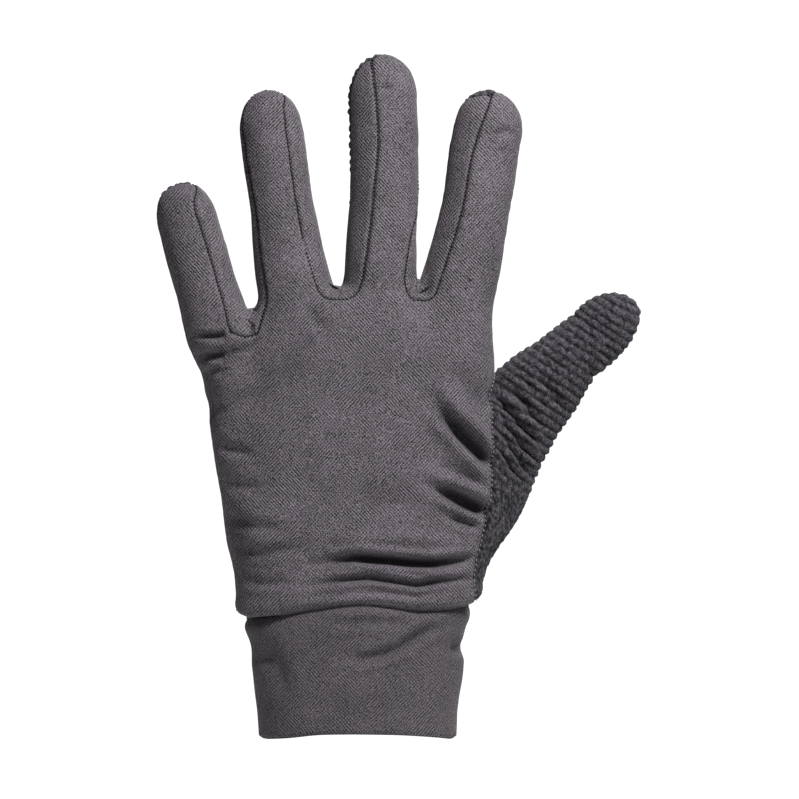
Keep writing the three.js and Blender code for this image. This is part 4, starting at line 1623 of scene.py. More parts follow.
@dataclass(frozen=True)
class StitchRow:
    """A row of stitches that follows a seam.

    Attributes:
        pitch: Distance from stitch to stitch.
        length: Length of a stitch.
        width: Thickness of the thread.
        turn: Degrees that a stitch turns from the seam's own direction.
        rise: Height of the thread's middle over the seam's line.
        segments: Sides round a stitch.
        rings: Steps along a stitch.
    """

    pitch: float
    length: float
    width: float
    turn: float
    rise: float
    segments: int = 6
    rings: int = 5

    def _stitch(self, made: GeometryTree) -> Socket:
        """One stitch, a bead stretched along X.

        Args:
            made: The tree.

        Returns:
            The stitch's mesh.
        """
        nodes, given = made.nodes, made.input
        inputs = {"Segments": self.segments, "Rings": self.rings, "Radius": 0.5}
        bead = nodes.add("GeometryNodeMeshUVSphere", inputs).outputs["Mesh"]
        sizes = {0: given["Length"], 1: given["Width"], 2: given["Width"]}
        shape = nodes.add("ShaderNodeCombineXYZ", sizes).outputs[0]
        stitch = nodes.add("GeometryNodeTransform", {"Geometry": bead, "Scale": shape}).outputs[0]
        return nodes.add("GeometryNodeSetShadeSmooth", {0: stitch}).outputs[0]

    def tree(self, name: str, material: Material) -> GeometryTree:
        """The tree that sets stitches on lines with the attribute outward.

        Args:
            name: The tree's name.
            material: The thread's material.

        Returns:
            The tree.
        """
        sizes = {"Pitch": self.pitch, "Length": self.length, "Width": self.width, "Rise": self.rise}
        sizes = {label: size * MM for label, size in sizes.items()}
        made = GeometryTree(name, sizes | {"Turn": self.turn})
        nodes, given = made.nodes, made.input
        curve = nodes.add("GeometryNodeMeshToCurve", {0: given["Geometry"]}).outputs[0]
        inputs = {"Curve": curve, "Length": given["Pitch"]}
        even = nodes.add("GeometryNodeResampleCurve", inputs, mode="LENGTH").outputs[0]
        outward = made.attribute("outward", "FLOAT_VECTOR")
        tangent = nodes.add("GeometryNodeInputTangent").outputs[0]
        axes = {"primary_axis": "Z", "secondary_axis": "X"}
        aim = nodes.add("FunctionNodeAxesToRotation", {0: outward, 1: tangent}, **axes).outputs[0]
        inputs = {"Axis": (0.0, 0.0, 1.0), "Angle": nodes.math("RADIANS", given["Turn"])}
        spin = nodes.add("FunctionNodeAxisAngleToRotation", inputs).outputs[0]
        turned = nodes.add("FunctionNodeRotateRotation", {0: aim, 1: spin}, rotation_space="LOCAL")
        offset = nodes.scaled(outward, given["Rise"])
        lifted = nodes.add("GeometryNodeSetPosition", {"Geometry": even, "Offset": offset}).outputs[0]
        inputs = {"Points": lifted, "Instance": self._stitch(made), "Rotation": turned.outputs[0]}
        rows = nodes.add("GeometryNodeInstanceOnPoints", inputs)
        made.close(rows.outputs[0], material)
        return made


def landed(piece: Object, node: str | None) -> None:
    """Lets a finished piece ride on the glove's body.

    Args:
        piece: The piece.
        node: The CAD node that it stands for, if any.
    """
    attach(piece, "root")
    if node:
        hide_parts(node)
    LOG.info("%s: %d vertices, %d faces", piece.name, len(piece.data.vertices), len(piece.data.polygons))


@dataclass
class SeamLine:
    """A line of a seam, as points and directions out of the cloth, in metres."""

    points: list[Vector]
    outward: list[Vector]


def seam_line(wall: ClothWall, numbers: Sequence[int]) -> SeamLine:
    """The line along a piece's edge, down to a little above the wrist seam.

    Args:
        wall: The finished wall of the piece.
        numbers: Vertex numbers along the edge.

    Returns:
        The line.
    """
    ordered = dict.fromkeys(int(number) for number in numbers)
    places = np.array([wall.outer[number] for number in ordered]) / MM
    kept = [number for number, above in zip(ordered, above_wrist(places)) if above > STITCHES_END]
    return SeamLine([wall.outer[number] for number in kept], [wall.outward[number] for number in kept])


def finger_stations(length_steps: int, tip_steps: int) -> Array:
    """Places along a finger from tip (1) down to web (0), by the steps of its shaft and its tip."""
    shaft = np.linspace(0.0, 1.0 - TIP_SHARE, length_steps, endpoint=False)
    return np.concatenate([shaft, np.linspace(1.0 - TIP_SHARE, 1.0, tip_steps + 1)])[::-1]


def across_seams(cells: int, gathered: float) -> Array:
    """Places across a piece from seam (0) to seam (1), closer together by the seams."""
    even = np.linspace(0.0, 1.0, cells + 1)
    return even - gathered * np.sin(2.0 * math.pi * even) / (2.0 * math.pi)


def path_lengths(points: Array) -> Array:
    """Distance along each column of a lattice from its last row up.

    Args:
        points: Points by row and column.

    Returns:
        Distances by row and column.
    """
    steps = np.linalg.norm(np.diff(points, axis=0), axis=-1)
    up = np.cumsum(steps[::-1], axis=0)[::-1]
    return np.concatenate([up, np.zeros((1, points.shape[1]))])


@dataclass
class HandPanel:
    """A panel over the hand and its four fingers, on the back or on the palm.

    Attributes:
        name: The piece's name.
        node: The CAD node that it stands for.
        side: Back or palm.
        finger_columns: Cells across a finger.
        web_columns: Cells across a web.
        finger_steps: Cells along a finger's shaft.
        tip_steps: Cells over a fingertip.
        upper_steps: Cells from the webs to the thumb's crotch.
        lower_steps: Cells from there to the wrist.
        gathered: How much closer the columns lie by the seams.
        lines: The seams between the fingers and along the outer edges, once it is built.
        thumb_lines: The seam by the thumb, once it is built.
    """

    name: str
    node: str
    side: Side
    finger_columns: int
    web_columns: int
    finger_steps: int
    tip_steps: int
    upper_steps: int
    lower_steps: int
    gathered: float
    lines: list[SeamLine] = field(default_factory=list)
    thumb_lines: list[SeamLine] = field(default_factory=list)

    def _finger_lattice(self, name: str) -> Rays:
        """Rays of a finger's side between its two seams.

        Args:
            name: The finger.

        Returns:
            Rays by row, from the tip down to the web, and column.
        """
        up = finger_stations(self.finger_steps, self.tip_steps)
        seams = FINGERS[name].seams.at(up)
        if self.side is Side.FRONT:
            ends = seams[:, 0], seams[:, 1]
        else:
            ends = seams[:, 2] - 360.0, seams[:, 3]
        share = across_seams(self.finger_columns, self.gathered)
        return finger_rays(name, up[:, None], mix(ends[0][:, None], ends[1][:, None], share))

    def _top_row(self, feet: dict[str, Rays]) -> Rays:
        """The fingers' last rows with the edges of the webs between them.

        Args:
            feet: Rays of each finger.

        Returns:
            One row of rays.
        """
        around = np.linspace(0.0, 1.0, self.web_columns + 1)[1:-1]
        seam = 0.0 if self.side is Side.FRONT else 1.0
        parts = [feet["little"][-1]]
        for web in WEBS:
            parts.extend([web_rays(web, around, seam), feet[web.right][-1]])
        return Rays.joined(parts)

    def _hand_lattice(self, top: Rays) -> Rays:
        """The hand from its top row down to the wrist.

        Args:
            top: Rays of the top row.

        Returns:
            Rays by row and column.
        """
        hits = top.pierce(HAND)
        count = len(hits)
        even = np.linspace(0.0, 1.0, count)
        trial = np.linspace(0.0, 1.0, 2 * count)
        reach = hand_rays(self.side, np.full(len(trial), CROTCH_HEIGHT), trial).pierce(HAND)[:, 0]
        tops = np.maximum.accumulate(hits[:, 0])
        inside = (reach > tops[0] + EDGE_BAND) & (reach < tops[-1] - EDGE_BAND)
        across = np.concatenate([tops[:1], reach[inside], tops[-1:]])
        places = np.concatenate([[0.0], trial[inside], [1.0]])
        shares = mix(np.interp(tops, across, places), even, EVEN_AT_CROTCH)
        feet = wrist_height(mix(WRIST_LEFT, WRIST_RIGHT, even), self.side)
        crotch = (hits[-1, 2] - CROTCH_HEIGHT) / (hits[-1, 2] - feet[-1])

        def straight(down: Array) -> Rays:
            """Straight rays.

            Args:
                down: Shares of the way down from the top row.

            Returns:
                Rays by row and column.
            """
            column = down[:, None]
            height = mix(hits[:, 2], feet, column)
            spread = smoothstep((column - crotch) / (SPREAD_DOWN - crotch))
            return hand_rays(self.side, height, mix(shares, even, spread))

        near = top.near_surface(HAND)
        middle = straight(np.array([crotch])).near_surface(HAND)[0]
        share = np.linspace(0.0, 1.0, self.upper_steps, endpoint=False)[1:] ** UPPER_CROWDING
        rows = [
            Rays(
                mix(near.start, middle.start, np.array([s**STRAIGHT_DOWN, s, s])),
                mix(near.toward, middle.toward, s**UP_TURN),
            )[None]
            for s in share
        ]
        below = straight(mix(crotch, 1.0, np.linspace(0.0, 1.0, self.lower_steps + 1)))
        return Rays.joined([Rays(top.start[None], top.toward[None]), *rows, below])

    def build(self, relief: Callable[[Surface], Array]) -> Object:
        """Makes the panel's mesh and keeps the lines of its seams.

        Args:
            relief: Height of the cloth over the body.

        Returns:
            The panel.
        """
        wall = ClothWall(HAND, CLOTH)
        flipped = self.side is Side.REAR
        fingers = {name: self._finger_lattice(name) for name in FINGERS}
        top = self._top_row(fingers)
        hand = self._hand_lattice(top)
        top_points = top.pierce(HAND)
        inner = self.web_columns - 1
        starts = {name: i * (self.finger_columns + 1 + inner) for i, name in enumerate(FINGERS)}
        numbers = {}
        for name, rays in fingers.items():
            foot = top_points[starts[name] : starts[name] + self.finger_columns + 1, 2]
            ribs = path_lengths(rays.pierce(HAND)) + foot
            numbers[name] = wall.add_lattice(rays, ribs, flipped, tip=True)
        hand_points = hand.pierce(HAND)
        first = np.arange(hand.start.shape[1]) + wall.count
        for name, start in starts.items():
            first[start : start + self.finger_columns + 1] = numbers[name][-1]
        grid = wall.add_lattice(hand, hand_points[..., 2], flipped, top=first)
        piece = wall.finish(self.name, relief)
        self._keep_lines(wall, numbers, grid, starts)
        return piece

    def _keep_lines(
        self, wall: ClothWall, numbers: dict[str, Array], grid: Array, starts: dict[str, int]
    ) -> None:
        """Keeps the seams along the panel's edges for their stitches.

        Args:
            wall: The finished wall of the panel.
            numbers: Vertex numbers of each finger.
            grid: Vertex numbers of the hand.
            starts: First column of each finger on the hand.
        """
        crotch = self.upper_steps
        names = list(FINGERS)
        for left, right in zip(names, names[1:]):
            web = grid[0, starts[left] + self.finger_columns : starts[right] + 1]
            self.lines.append(seam_line(wall, [*numbers[left][:, -1], *web, *numbers[right][::-1, 0]]))
        if self.side is Side.FRONT:
            self.lines.append(seam_line(wall, [*numbers["little"][:, 0], *grid[:, 0]]))
            self.lines.append(seam_line(wall, [*numbers["index"][:, -1], *grid[: crotch + 1, -1]]))
        self.thumb_lines.append(seam_line(wall, grid[crotch:, -1]))


# Line, half width, depth, lip, taper
BACK_CREASES = (
    Crease((
        (-17, 60.6), (-2, 62.9), (8, 62.2), (17, 61.2), (26, 60.8), (35, 61.8), (46, 63.6),
    ), 1.5, 5.4, 0.4, 0.4),
    Crease((
        (-19, 52.6), (-6, 55.3), (3, 56.2), (12, 54.8), (20, 53.4), (28, 55), (43, 55.6),
    ), 1.1, 2.3, 0.4, 0.3),
    Crease(((-14, 57.8), (0, 58.9), (10, 58.4), (20, 57.2), (32, 58.2), (42, 59.2)), 0.9, 0.9, 0.3),
    Crease(((-22, 48.6), (-8, 50.2), (6, 50.9), (20, 49.4), (34, 50.4)), 1.2, 0.9, 0.3),
    Crease((
        (25, 118.5), (30, 112), (36, 105.6), (42, 99.6), (48.4, 92.5), (53, 87),
    ), 2.3, 6.4, 0.35, 0.42),
    Crease(((23, 88.6), (32, 84.8), (39, 81.6), (45.5, 78.6), (54, 74.6)), 2.1, 6.3, 0.35, 0.4),
    Crease(((31, 77.4), (37, 75.2), (43, 73.4)), 1.5, 1.6, 0.3),
    Crease(((30, 81), (38, 77.5), (49, 72)), 4, 2, 0, 0.3),
    Crease(((-46, 82), (-43, 68), (-41, 54)), 5, 1.6, 0, 0.3),
    Crease(((24, 98), (32, 93), (38, 90.5), (46, 86)), 2.6, 1.3, 0.3),
    Crease(((-16, 70.5), (0, 69), (16, 69.8), (32, 68.2), (43, 67.8)), 2.6, -1.2, 0, 0.35),
    Crease(((-58.5, 140), (-50, 139.8), (-44, 141.2), (-39, 143.4)), 1, 2.6, 0.2, 0.25),
    Crease(((-54, 135.8), (-47, 137.4), (-40, 140), (-34.5, 142.8)), 0.9, -1.6, 0, 0.2),
    Crease(((-58, 132.6), (-50, 132.8), (-44, 134.6), (-37, 138)), 1.4, 3.2, 0.2, 0.3),
    Crease(((-57, 130), (-55.5, 120), (-53.5, 108)), 3.5, 3.4, 0, 0.3),
    Crease(((-55.5, 127), (-48, 128.4), (-41, 132)), 1.6, 1.4, 0.3),
    Crease(((-48, 108.8), (-38, 117), (-27, 126), (-12, 146)), 5.5, 1.9, 0.2, 0.3),
    Crease(((-52.5, 112), (-46, 116), (-38, 122)), 2.2, 1.2, 0.2),
    Crease(((-50.5, 103), (-45, 100.4), (-37, 99)), 1.8, 1.2, 0.3),
    Crease(((-49.5, 91), (-42, 87.6), (-33, 87)), 2.2, 1.1, 0.3),
    Crease(((-47.5, 77.4), (-38, 74), (-26, 72.4)), 2, 1.1, 0.3),
    Crease(((-45.5, 66.4), (-34, 64), (-20, 66.6)), 1.8, 1.1, 0.3),
    Crease(((-43.5, 56.4), (-34, 53.6), (-22, 54.6)), 1.6, 0.9, 0.3),
    Crease(((28, 130), (36, 124), (46, 113)), 3.4, 1.2, 0.2),
    Crease(((-4, 80), (12, 82), (24, 79)), 4.5, 1, 0.2),
    Crease(((-20, 152), (-16, 146), (-10, 140.5)), 2.2, 0.9, 0.3),
    Crease(((6, 225), (9, 226.5), (12, 225.5)), 1.2, 0.8, 0.3),
    Crease(((46, 209), (50, 211), (55, 210)), 1.4, 0.9, 0.3),
)


class BackPanel:
    """The smooth knit over the back of the hand."""

    WAVES = (Waves(0.45, 17.0, 1.0), Waves(0.16, 6.0, 2.0))
    SEWN_FOLD = 0.4
    SEWN_REACH = 4.5

    def __init__(self, finish: Material) -> None:
        """Sets the panel's density.

        Args:
            finish: Its material.
        """
        self.finish = finish
        self.panel = HandPanel(
            "knit_back", "back_panel", Side.FRONT, finger_columns=26, web_columns=8, finger_steps=84,
            tip_steps=30, upper_steps=26, lower_steps=136, gathered=0.72,
        )

    def _relief(self, surface: Surface) -> Array:
        """Creases, seams, the roll at the wrist and a soft unevenness.

        Args:
            surface: The panel's points.

        Returns:
            Height of the cloth at each point.
        """
        points = surface.points
        high = clear_of_wrist(points)
        uneven = risen(self.WAVES, points)
        sewn = mix(self.SEWN_FOLD, 1.0, smoothstep(surface.edge / self.SEWN_REACH))
        folds = creases_of(BACK_CREASES, points) * surface.front * sewn
        return uneven * high - folds - SEAM.sink(surface) * high - ROLL.sink(points)

    def build(self) -> None:
        """Makes the panel."""
        piece = self.panel.build(self._relief)
        piece.data.materials.append(self.finish)
        landed(piece, self.panel.node)


class PalmPanel:
    """The ribbed fleece over the palm."""

    WAVES = (Waves(0.5, 18.0, 3.0), Waves(0.2, 7.0, 4.0))
    LOWERED = 0.3

    def __init__(self, ribs: GeometryTree) -> None:
        """Sets the panel's density.

        Args:
            ribs: The tree that raises its ribs.
        """
        self.ribs = ribs
        self.panel = HandPanel(
            "fleece_palm", "palm_panel", Side.REAR, finger_columns=20, web_columns=16, finger_steps=120,
            tip_steps=46, upper_steps=44, lower_steps=170, gathered=0.35,
        )

    def _relief(self, surface: Surface) -> Array:
        """Seams, the roll at the wrist and a soft unevenness.

        Args:
            surface: The panel's points.

        Returns:
            Height of the cloth at each point.
        """
        points = surface.points
        sewn = (risen(self.WAVES, points) - SEAM.sink(surface)) * clear_of_wrist(points)
        return sewn - ROLL.sink(points) - self.LOWERED

    def build(self) -> None:
        """Makes the panel and raises its ribs."""
        piece = self.ribs.apply(self.panel.build(self._relief))
        landed(piece, self.panel.node)


# Lumps of the strips beside the webs
WEB_LUMPS = (
    Lump((-40.4, -7.0, 147.0), 2.8, 1.9),
    Lump((-38.2, -7.2, 142.8), 1.5, -1.6),
    Lump((-35.2, -7.5, 142.6), 1.8, 1.0),
    Lump((-42.6, -6.5, 152.6), 2.2, -0.8),
    Lump((-10.6, -7.0, 157.0), 2.0, 1.6),
    Lump((-7.9, -6.8, 155.6), 0.9, -1.5),
    Lump((-5.6, -6.8, 156.2), 1.7, 1.3),
    Lump((17.8, -7.0, 156.6), 1.8, 1.1),
    Lump((20.4, -6.0, 155.4), 0.9, -1.0),
)


@dataclass
class SideStrip:
    """A strip of smooth knit down one finger, round the web and up the next.

    Attributes:
        web: The web that it goes round.
        finish: Its material.
        columns: Cells across it.
        finger_steps: Cells along a finger's shaft.
        tip_steps: Cells over a fingertip.
        web_steps: Cells round the web.
        bunch_above: How far above the start of the web's rays it is bunched most.
        bunch_reach: Half of the width of the bunched part.
        bunches: The bunched wrinkles.
        bunch_rise: How far the bunched part is lifted.
        waves: Soft unevenness everywhere.
        free_from: Distance from the seams where the wrinkles have their full height.
    """

    web: Web
    finish: Material
    columns: int = 16
    finger_steps: int = 76
    tip_steps: int = 20
    web_steps: int = 20
    bunch_above: float = 2.0
    bunch_reach: float = 12.0
    bunches: Waves = Waves(0.9, 3.4, 6.0)
    bunch_rise: float = 0.3
    waves: Waves = Waves(0.2, 7.0, 7.0)
    free_from: float = 2.2

    def _rays(self) -> Rays:
        """Lays the rays.

        Returns:
            Rays from one finger's tip round the web to the next one's.
        """
        up = finger_stations(self.finger_steps, self.tip_steps)
        up = np.concatenate([[STRIP_END], up[up < STRIP_END]])
        share = across_seams(self.columns, STRIP_GATHERED)
        left = FINGERS[self.web.left].seams.at(up)
        right = FINGERS[self.web.right].seams.at(up[::-1])
        down = finger_rays(self.web.left, up[:, None], mix(left[:, 1:2], left[:, 3:4], share))
        rise = finger_rays(self.web.right, up[::-1, None], mix(right[:, 0:1], right[:, 2:3], share))
        around = np.linspace(0.0, 1.0, self.web_steps + 1)[1:-1]
        floor = web_rays(self.web, np.repeat(around[:, None], len(share), 1), share)
        return Rays.joined([down, floor, rise])

    def _relief(self, surface: Surface) -> Array:
        """Seams, and the strip's bunched wrinkles round the web.

        Args:
            surface: The strip's points.

        Returns:
            Height of the cloth at each point.
        """
        points = surface.points
        foot = np.array([self.web.under[0], 0.0, self.web.under[1] + self.bunch_above])
        near = bell(np.linalg.norm(points - foot, axis=1), self.bunch_reach)
        bunched = near * (self.bunches.rise(points) + self.bunch_rise) + risen(WEB_LUMPS, points)
        free = smoothstep(surface.edge / self.free_from)
        return (bunched + self.waves.rise(points)) * free - SEAM.sink(surface)

    def build(self) -> None:
        """Makes the strip."""
        wall = ClothWall(HAND, CLOTH)
        rays = self._rays()
        wall.add_lattice(rays, np.zeros(1))
        piece = wall.finish(f"knit_strip_{self.web.left}_{self.web.right}", self._relief)
        piece.data.materials.append(self.finish)
        landed(piece, f"side_strip_{self.web.left}_{self.web.right}")


THUMB_CREASES = (
    Crease(((46.5, 120.5), (51, 114.5), (57, 107.5), (63, 101.5)), 1.4, 3, 0.4),
    Crease(((47, 115.5), (52, 107.5), (58, 100), (63, 95)), 1.3, 3.4, 0.45),
    Crease(((47, 110), (52, 102), (57, 95.5), (61, 91)), 1.3, 3.2, 0.45),
    Crease(((47, 104.5), (51, 97.5), (56, 90.5)), 1.2, 2, 0.4),
    Crease(((60, 128), (66, 121), (73, 113)), 1.6, 1.2, 0.3),
    Crease(((52, 123.5), (57, 116), (64, 108)), 1.3, 1.4, 0.35),
    Crease(((56, 127), (62, 119), (69, 112)), 1.3, 0.9, 0.3),
    Crease(((79.5, 130.5), (82, 127.5), (85, 121.5)), 1.2, 1.7, 0.4),
)


@dataclass
class Thumb:
    """The ribbed sleeve of the thumb with its gusset.

    Attributes:
        ribs: The tree that raises its ribs.
        columns: Cells round it.
        step: Length of a cell along it.
        tip_radius: Radius of the tip.
        waves: Soft unevenness everywhere.
        lowered: How far its cloth lies below the body's surface.
        foot_lowered: How much deeper it lies at the gusset's foot.
        foot: Height where that starts and where it ends.
        plain: How much of the ribs is lost at the gusset's foot.
        plain_along: Place on the thumb where that starts and where it ends.
    """

    ribs: GeometryTree
    columns: int = 96
    step: float = 0.48
    tip_radius: float = 12.0
    waves: tuple[Waves, ...] = (Waves(0.4, 12.0, 8.0), Waves(0.2, 5.0, 9.0))
    lowered: float = 0.6
    foot_lowered: float = 2.2
    foot: tuple[float, float] = (72.0, 50.0)
    plain: float = 0.85
    plain_along: tuple[float, float] = (66.0, 50.0)

    def _row_heights(self, along: Array) -> tuple[Array, Array]:
        """Heights of a row's two ends on the seams.

        Args:
            along: Places of the rows on the thumb.

        Returns:
            Heights on the front seam and on the rear one.
        """
        up = (along - WRIST_ALONG) / (CROTCH_ALONG - WRIST_ALONG)
        wrist = float(wrist_height(np.array(WRIST_RIGHT), Side.FRONT))
        return mix(wrist, CROTCH_HEIGHT, up), mix(wrist, CROTCH_HEIGHT, up + REAR_RISE * up * (1.0 - up))

    def _sleeve(self, along: Array, lift: Array) -> Rays:
        """Rays all the way round above the crotch, by row and column."""
        angle = 180.0 - 360.0 * np.linspace(0.0, 1.0, self.columns + 1)
        return LIMBS["thumb"].rays(along[:, None], angle, lift[:, None])

    def _gusset(self, along: Array) -> Rays:
        """Rays from the front seam round to the rear one, below the crotch.

        Args:
            along: Places of the rows on the thumb.

        Returns:
            Rays by row and column.
        """
        form = LIMBS["thumb"]
        share = np.linspace(0.0, 1.0, self.columns + 1)
        ends = []
        for keys, height in zip((FRONT_THUMB_SEAM, REAR_THUMB_SEAM), self._row_heights(along)):
            rays = seam_rays(keys, height)
            place, across, behind, _ = form.place(rays.pierce(HAND))
            ends.append((rays, place[:, None], np.degrees(np.arctan2(-behind, across))[:, None]))
        (front, from_along, from_angle), (rear, to_along, to_angle) = ends
        to_angle = np.where(to_angle > 0.0, to_angle - 360.0, to_angle)
        angle = mix(from_angle, to_angle, share)
        is_front = angle > 0.0
        end_along = np.where(is_front, from_along, to_along)
        end_angle = np.where(is_front, from_angle, to_angle)
        made = form.rays(mix(along[:, None], end_along, (angle / end_angle) ** 2), angle)
        made.start[:, 0], made.toward[:, 0] = front.start, front.toward
        made.start[:, -1], made.toward[:, -1] = rear.start, rear.toward
        return made

    def _relief(self, surface: Surface) -> Array:
        """Seams, creases and the roll at the wrist.

        Args:
            surface: The sleeve's points.

        Returns:
            Height of the cloth at each point.
        """
        points = surface.points
        sewn = (risen(self.waves, points) - SEAM.sink(surface)) * clear_of_wrist(points)
        folds = creases_of(THUMB_CREASES, points) * surface.front
        start, end = self.foot
        lowered = self.foot_lowered * smoothstep((start - points[:, 2]) / (start - end)) + self.lowered
        return sewn - folds - ROLL.sink(points) - lowered

    def _mark_plain(self, mesh: bpy.types.Mesh) -> None:
        """Marks the gusset's foot, where the ribs are lost in the fleece.

        Args:
            mesh: The sleeve's mesh.
        """
        ribs = np.zeros(len(mesh.vertices))
        mesh.attributes["rib"].data.foreach_get("value", ribs)
        mesh.attributes.new("plain", "FLOAT", "POINT")
        start, end = self.plain_along
        plain = self.plain * smoothstep((start - ribs) / (start - end))
        mesh.attributes["plain"].data.foreach_set("value", plain)

    def build(self) -> None:
        """Makes the sleeve and raises its ribs."""
        end = LIMBS["thumb"].cap_from
        lift = np.linspace(90.0, 0.0, round(self.tip_radius * math.pi / 2.0 / self.step), endpoint=False)
        above = np.arange(end, CROTCH_ALONG, -self.step)
        below = np.linspace(CROTCH_ALONG, WRIST_ALONG, round((CROTCH_ALONG - WRIST_ALONG) / self.step))
        sleeve = self._sleeve(
            np.concatenate([np.full(len(lift), end), above]), np.concatenate([lift, np.zeros(len(above))])
        )
        rays = Rays.joined([sleeve, self._gusset(below)])
        ribs = np.concatenate([end + self.tip_radius * np.radians(lift), above, below])[:, None]
        closed = np.arange(len(rays.start)) < len(sleeve.start)
        wall = ClothWall(HAND, CLOTH)
        wall.add_lattice(rays, ribs, tip=True, closed=closed)
        piece = wall.finish("fleece_thumb", self._relief)
        self._mark_plain(piece.data)
        self.ribs.apply(piece)
        landed(piece, "thumb")


CUFF_CREASES = (
    Crease(((-8, 27.8), (2, 28), (12, 30.6), (22, 36.6), (33, 41.4)), 1.7, 1.9, 0.45, 0.35),
    Crease(((-12, 39.4), (0, 40.8), (12, 40.6), (20, 42)), 1.7, 1.2, 0.3),
    Crease(((-36, 34), (-29, 27), (-26, 14)), 3, 1.1, 0.2),
    Crease(((30, 20), (33, 28), (37, 34)), 2.6, 1, 0.2),
    Crease(((-37, 27.5), (-30, 26.5)), 2.2, 1.2, 0.3),
    Crease(((31, 31), (37, 31.5)), 2.2, 1.3, 0.3),
    Crease(((-20, 12), (0, 9), (20, 12)), 4, 0.6, 0.2),
)


@dataclass
class Cuff:
    """The doubled cuff below the wrist seam.

    Attributes:
        finish: Its material.
        columns: Cells round it.
        rows: Cells down it.
        lap: How far it goes on up behind the hand's edge.
        tuck: How deep it lies there.
        tuck_reach: Half of the width of the tuck.
        waves: Soft unevenness everywhere.
    """

    finish: Material
    columns: int = 180
    rows: int = 52
    lap: float = 1.6
    tuck: float = 2.3
    tuck_reach: float = 2.6
    waves: tuple[Waves, ...] = (Waves(0.3, 14.0, 10.0), Waves(0.1, 5.0, 11.0))

    def _rays(self) -> Rays:
        """Lays the rays all the way round.

        Returns:
            Rays by row, from the wrist seam down to the hem, and column.
        """
        angle = 180.0 - 360.0 * np.linspace(0.0, 1.0, self.columns + 1)
        across = LIMBS["cuff"].rays(np.array(CUFF_TOP), angle).pierce(CUFF)[:, 0]
        front, rear = (wrist_height(across, side) for side in Side)
        top = np.where(angle >= 0.0, front, rear) + self.lap
        share = np.linspace(0.0, 1.0, self.rows + 1)[:, None]
        height = mix(top, HEM.at(across)[:, 0], share)
        return LIMBS["cuff"].rays(height, np.broadcast_to(angle, height.shape))

    def _relief(self, surface: Surface) -> Array:
        """Tuck at the wrist, creases and a soft unevenness.

        Args:
            surface: The cuff's points.

        Returns:
            Height of the cloth at each point.
        """
        points = surface.points
        below = -above_wrist(points)
        top = self.tuck * bell(np.maximum(below + self.lap, 0.0), self.tuck_reach)
        folds = creases_of(CUFF_CREASES, points) * surface.front
        return risen(self.waves, points) - top - folds

    def build(self) -> None:
        """Makes the cuff."""
        rays = self._rays()
        wall = ClothWall(CUFF, CUFF_CLOTH)
        wall.add_lattice(rays, np.zeros(1), closed=np.ones(len(rays.start), bool))
        piece = wall.finish("knit_cuff", self._relief, edge_round=CUFF_CLOTH / 2.0)
        piece.data.materials.append(self.finish)
        landed(piece, "cuff")


@dataclass
class Stitching:
    """Rows of stitches along seams, as one piece.

    Attributes:
        name: The piece's name.
        row: The look of the row.
        lines: The seams.
        finish: The thread's material.
        slot: Name of a material slot; not used.
    """

    name: str
    row: StitchRow
    lines: list[SeamLine]
    finish: Material
    slot: str

    def build(self) -> None:
        """Lays the lines and sets stitches on them."""
        points, outward, edges = [], [], []
        for line in self.lines:
            first = len(points)
            points.extend(line.points)
            outward.extend(line.outward)
            edges.extend((first + i, first + i + 1) for i in range(len(line.points) - 1))
        made = bpy.data.meshes.new(self.name)
        made.from_pydata(points, edges, [])
        made.attributes.new("outward", "FLOAT_VECTOR", "POINT")
        made.attributes["outward"].data.foreach_set("vector", np.array(outward, float).ravel())
        landed(self.row.tree(self.name, self.finish).apply(placed(self.name, made)), None)


@dataclass(frozen=True)
class Lamp:
    """A square soft light: its name, its place and side in metres, and its power in watts."""

    name: str
    place: tuple[float, float, float]
    size: float
    power: float

    def build(self, target: Vector) -> None:
        """Makes the light.

        Args:
            target: The point that it is aimed at.
        """
        data = bpy.data.lights.new(self.name, "AREA")
        data.size = self.size
        data.energy = self.power
        made = placed(self.name, data)
        made.location = self.place
        made.rotation_euler = (target - Vector(self.place)).to_track_quat("-Z", "Y").to_euler()


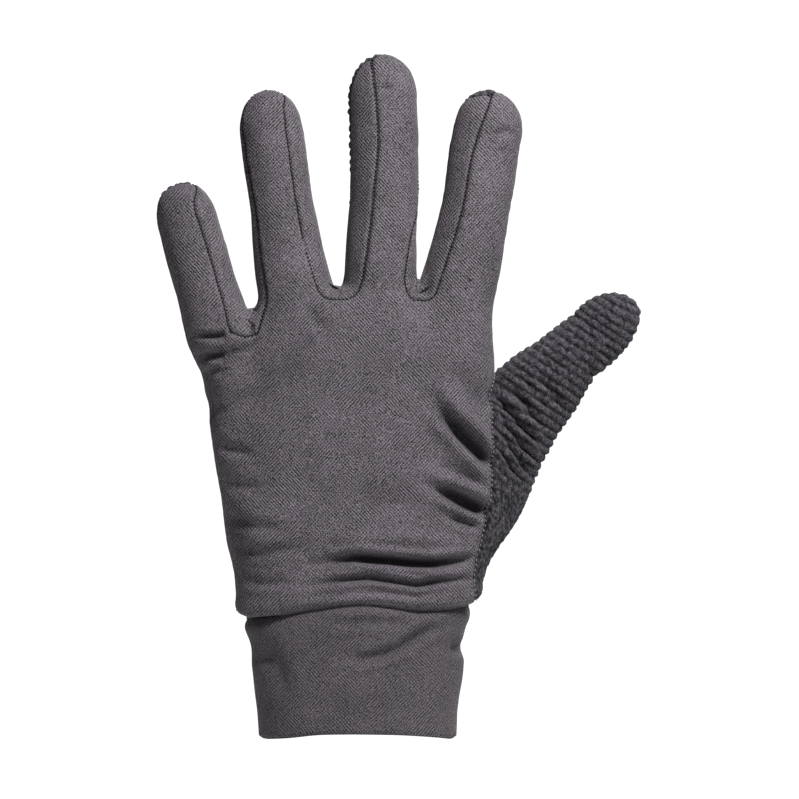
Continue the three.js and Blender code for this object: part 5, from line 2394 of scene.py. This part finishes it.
@dataclass
class Studio:
    """Camera, lights and floor. The camera's frame is that of the photograph.

    Attributes:
        width: Width of the frame at the glove.
        centre: The frame's middle, in X and Z.
        distance: Distance of the camera.
        sensor: Width of its sensor.
        clip: How far it sees, in metres.
        floor: Height of the floor.
        half_floor: Half of the floor's side.
        white: Strength of the white that the camera sees behind the glove.
        glow: Strength of the light from all sides.
        middle: The point that the lamps are aimed at.
        lamps: The lamps.
    """

    width: float = 279.65
    centre: tuple[float, float] = (13.8, 117.8)
    distance: float = 2000.0
    sensor: float = 36.0
    clip: float = 100.0
    floor: float = -60.0
    half_floor: float = 450.0
    white: float = 1.1
    glow: float = 0.09
    middle: tuple[float, float, float] = (14.0, 0.0, 120.0)
    lamps: tuple[Lamp, ...] = (
        Lamp("key", (0.25, -0.36, 0.62), 0.15, 7.0),
        Lamp("fill", (-0.1, -1.5, 0.5), 0.8, 2.7),
        Lamp("back", (0.3, 1.2, 0.7), 0.9, 9.0),
    )

    def build(self) -> None:
        """Makes the whole studio."""
        self._camera()
        self._world()
        self._floor()
        for lamp in self.lamps:
            lamp.build(Vector(self.middle) * MM)

    def _camera(self) -> None:
        """A long lens in front, level with the glove's middle."""
        data = bpy.data.cameras.new("camera")
        data.sensor_width = self.sensor
        data.lens = self.sensor * self.distance / self.width
        data.clip_end = self.clip
        made = placed("camera", data)
        made.location = (self.centre[0] * MM, -self.distance * MM, self.centre[1] * MM)
        made.rotation_euler = (math.radians(90.0), 0.0, 0.0)
        bpy.context.scene.camera = made

    def _world(self) -> None:
        """White behind the glove, and a weaker light on it."""
        world = bpy.data.worlds.new("studio")
        world.use_nodes = True
        nodes = Nodes(world.node_tree)
        seen = nodes.add("ShaderNodeLightPath").outputs["Is Camera Ray"]
        strength = nodes.math("MULTIPLY_ADD", seen, self.white - self.glow, self.glow)
        shader = nodes.add("ShaderNodeBackground", {"Color": (1.0, 1.0, 1.0, 1.0), "Strength": strength})
        nodes.add("ShaderNodeOutputWorld", {"Surface": shader.outputs[0]})
        bpy.context.scene.world = world
        bpy.context.scene.view_settings.view_transform = "Standard"

    def _floor(self) -> None:
        """A wide pale floor below the glove."""
        made = bpy.data.meshes.new("floor")
        half, z = self.half_floor * MM, self.floor * MM
        corners = [(-half, -half, z), (half, -half, z), (half, half, z), (-half, half, z)]
        made.from_pydata(corners, [], [(0, 1, 2, 3)])
        made.materials.append(FloorFinish().build())
        piece = placed("floor", made)


def main() -> None:
    """Builds the glove over its CAD frame, piece by piece."""
    logging.basicConfig(level=logging.INFO, format="%(name)s %(message)s")
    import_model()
    # Each knit's dark colour is also where its painted shade in folds and seam grooves goes.
    knit = KnitFinish("smooth_knit", dark=(0.003, 0.003, 0.003), light=(0.204, 0.178, 0.208)).build()
    strip = KnitFinish("side_knit", dark=(0.005, 0.004, 0.005), light=(0.200, 0.177, 0.203)).build()
    cuff = KnitFinish("cuff_knit", dark=(0.008, 0.007, 0.008), light=(0.150, 0.130, 0.150)).build()
    # deep is the colour of the painted shade between the fleece's ribs and loops.
    fleece = FleeceFinish(
        "ribbed_fleece", deep=(0.003, 0.003, 0.004), dark=(0.008, 0.007, 0.009), light=(0.17, 0.152, 0.18)
    ).build()
    dark = ThreadFinish("dark_thread", dark=(0.003, 0.003, 0.003), light=(0.012, 0.010, 0.012)).build()
    pale = ThreadFinish("pale_thread", dark=(0.12, 0.11, 0.12), light=(0.4, 0.37, 0.4)).build()
    ribs = RibbedRelief().tree(fleece)
    back, palm = BackPanel(knit), PalmPanel(ribs)
    back.build()
    palm.build()
    for web in WEBS:
        SideStrip(web, strip).build()
    Thumb(ribs).build()
    Cuff(cuff).build()
    fine = StitchRow(pitch=1.4, length=0.9, width=0.64, turn=0.0, rise=0.5)
    crossing = StitchRow(pitch=1.75, length=0.95, width=0.36, turn=25.0, rise=0.75)
    Stitching("finger_seam_stitches", fine, back.panel.lines, dark, "smooth_knit").build()
    Stitching("palm_seam_stitches", fine, palm.panel.lines, dark, "ribbed_fleece").build()
    Stitching("thumb_seam_stitches", crossing, back.panel.thumb_lines, pale, "ribbed_fleece").build()
    Stitching("thumb_rear_stitches", fine, palm.panel.thumb_lines, dark, "ribbed_fleece").build()
    Studio().build()


if __name__ == "__main__":
    main()
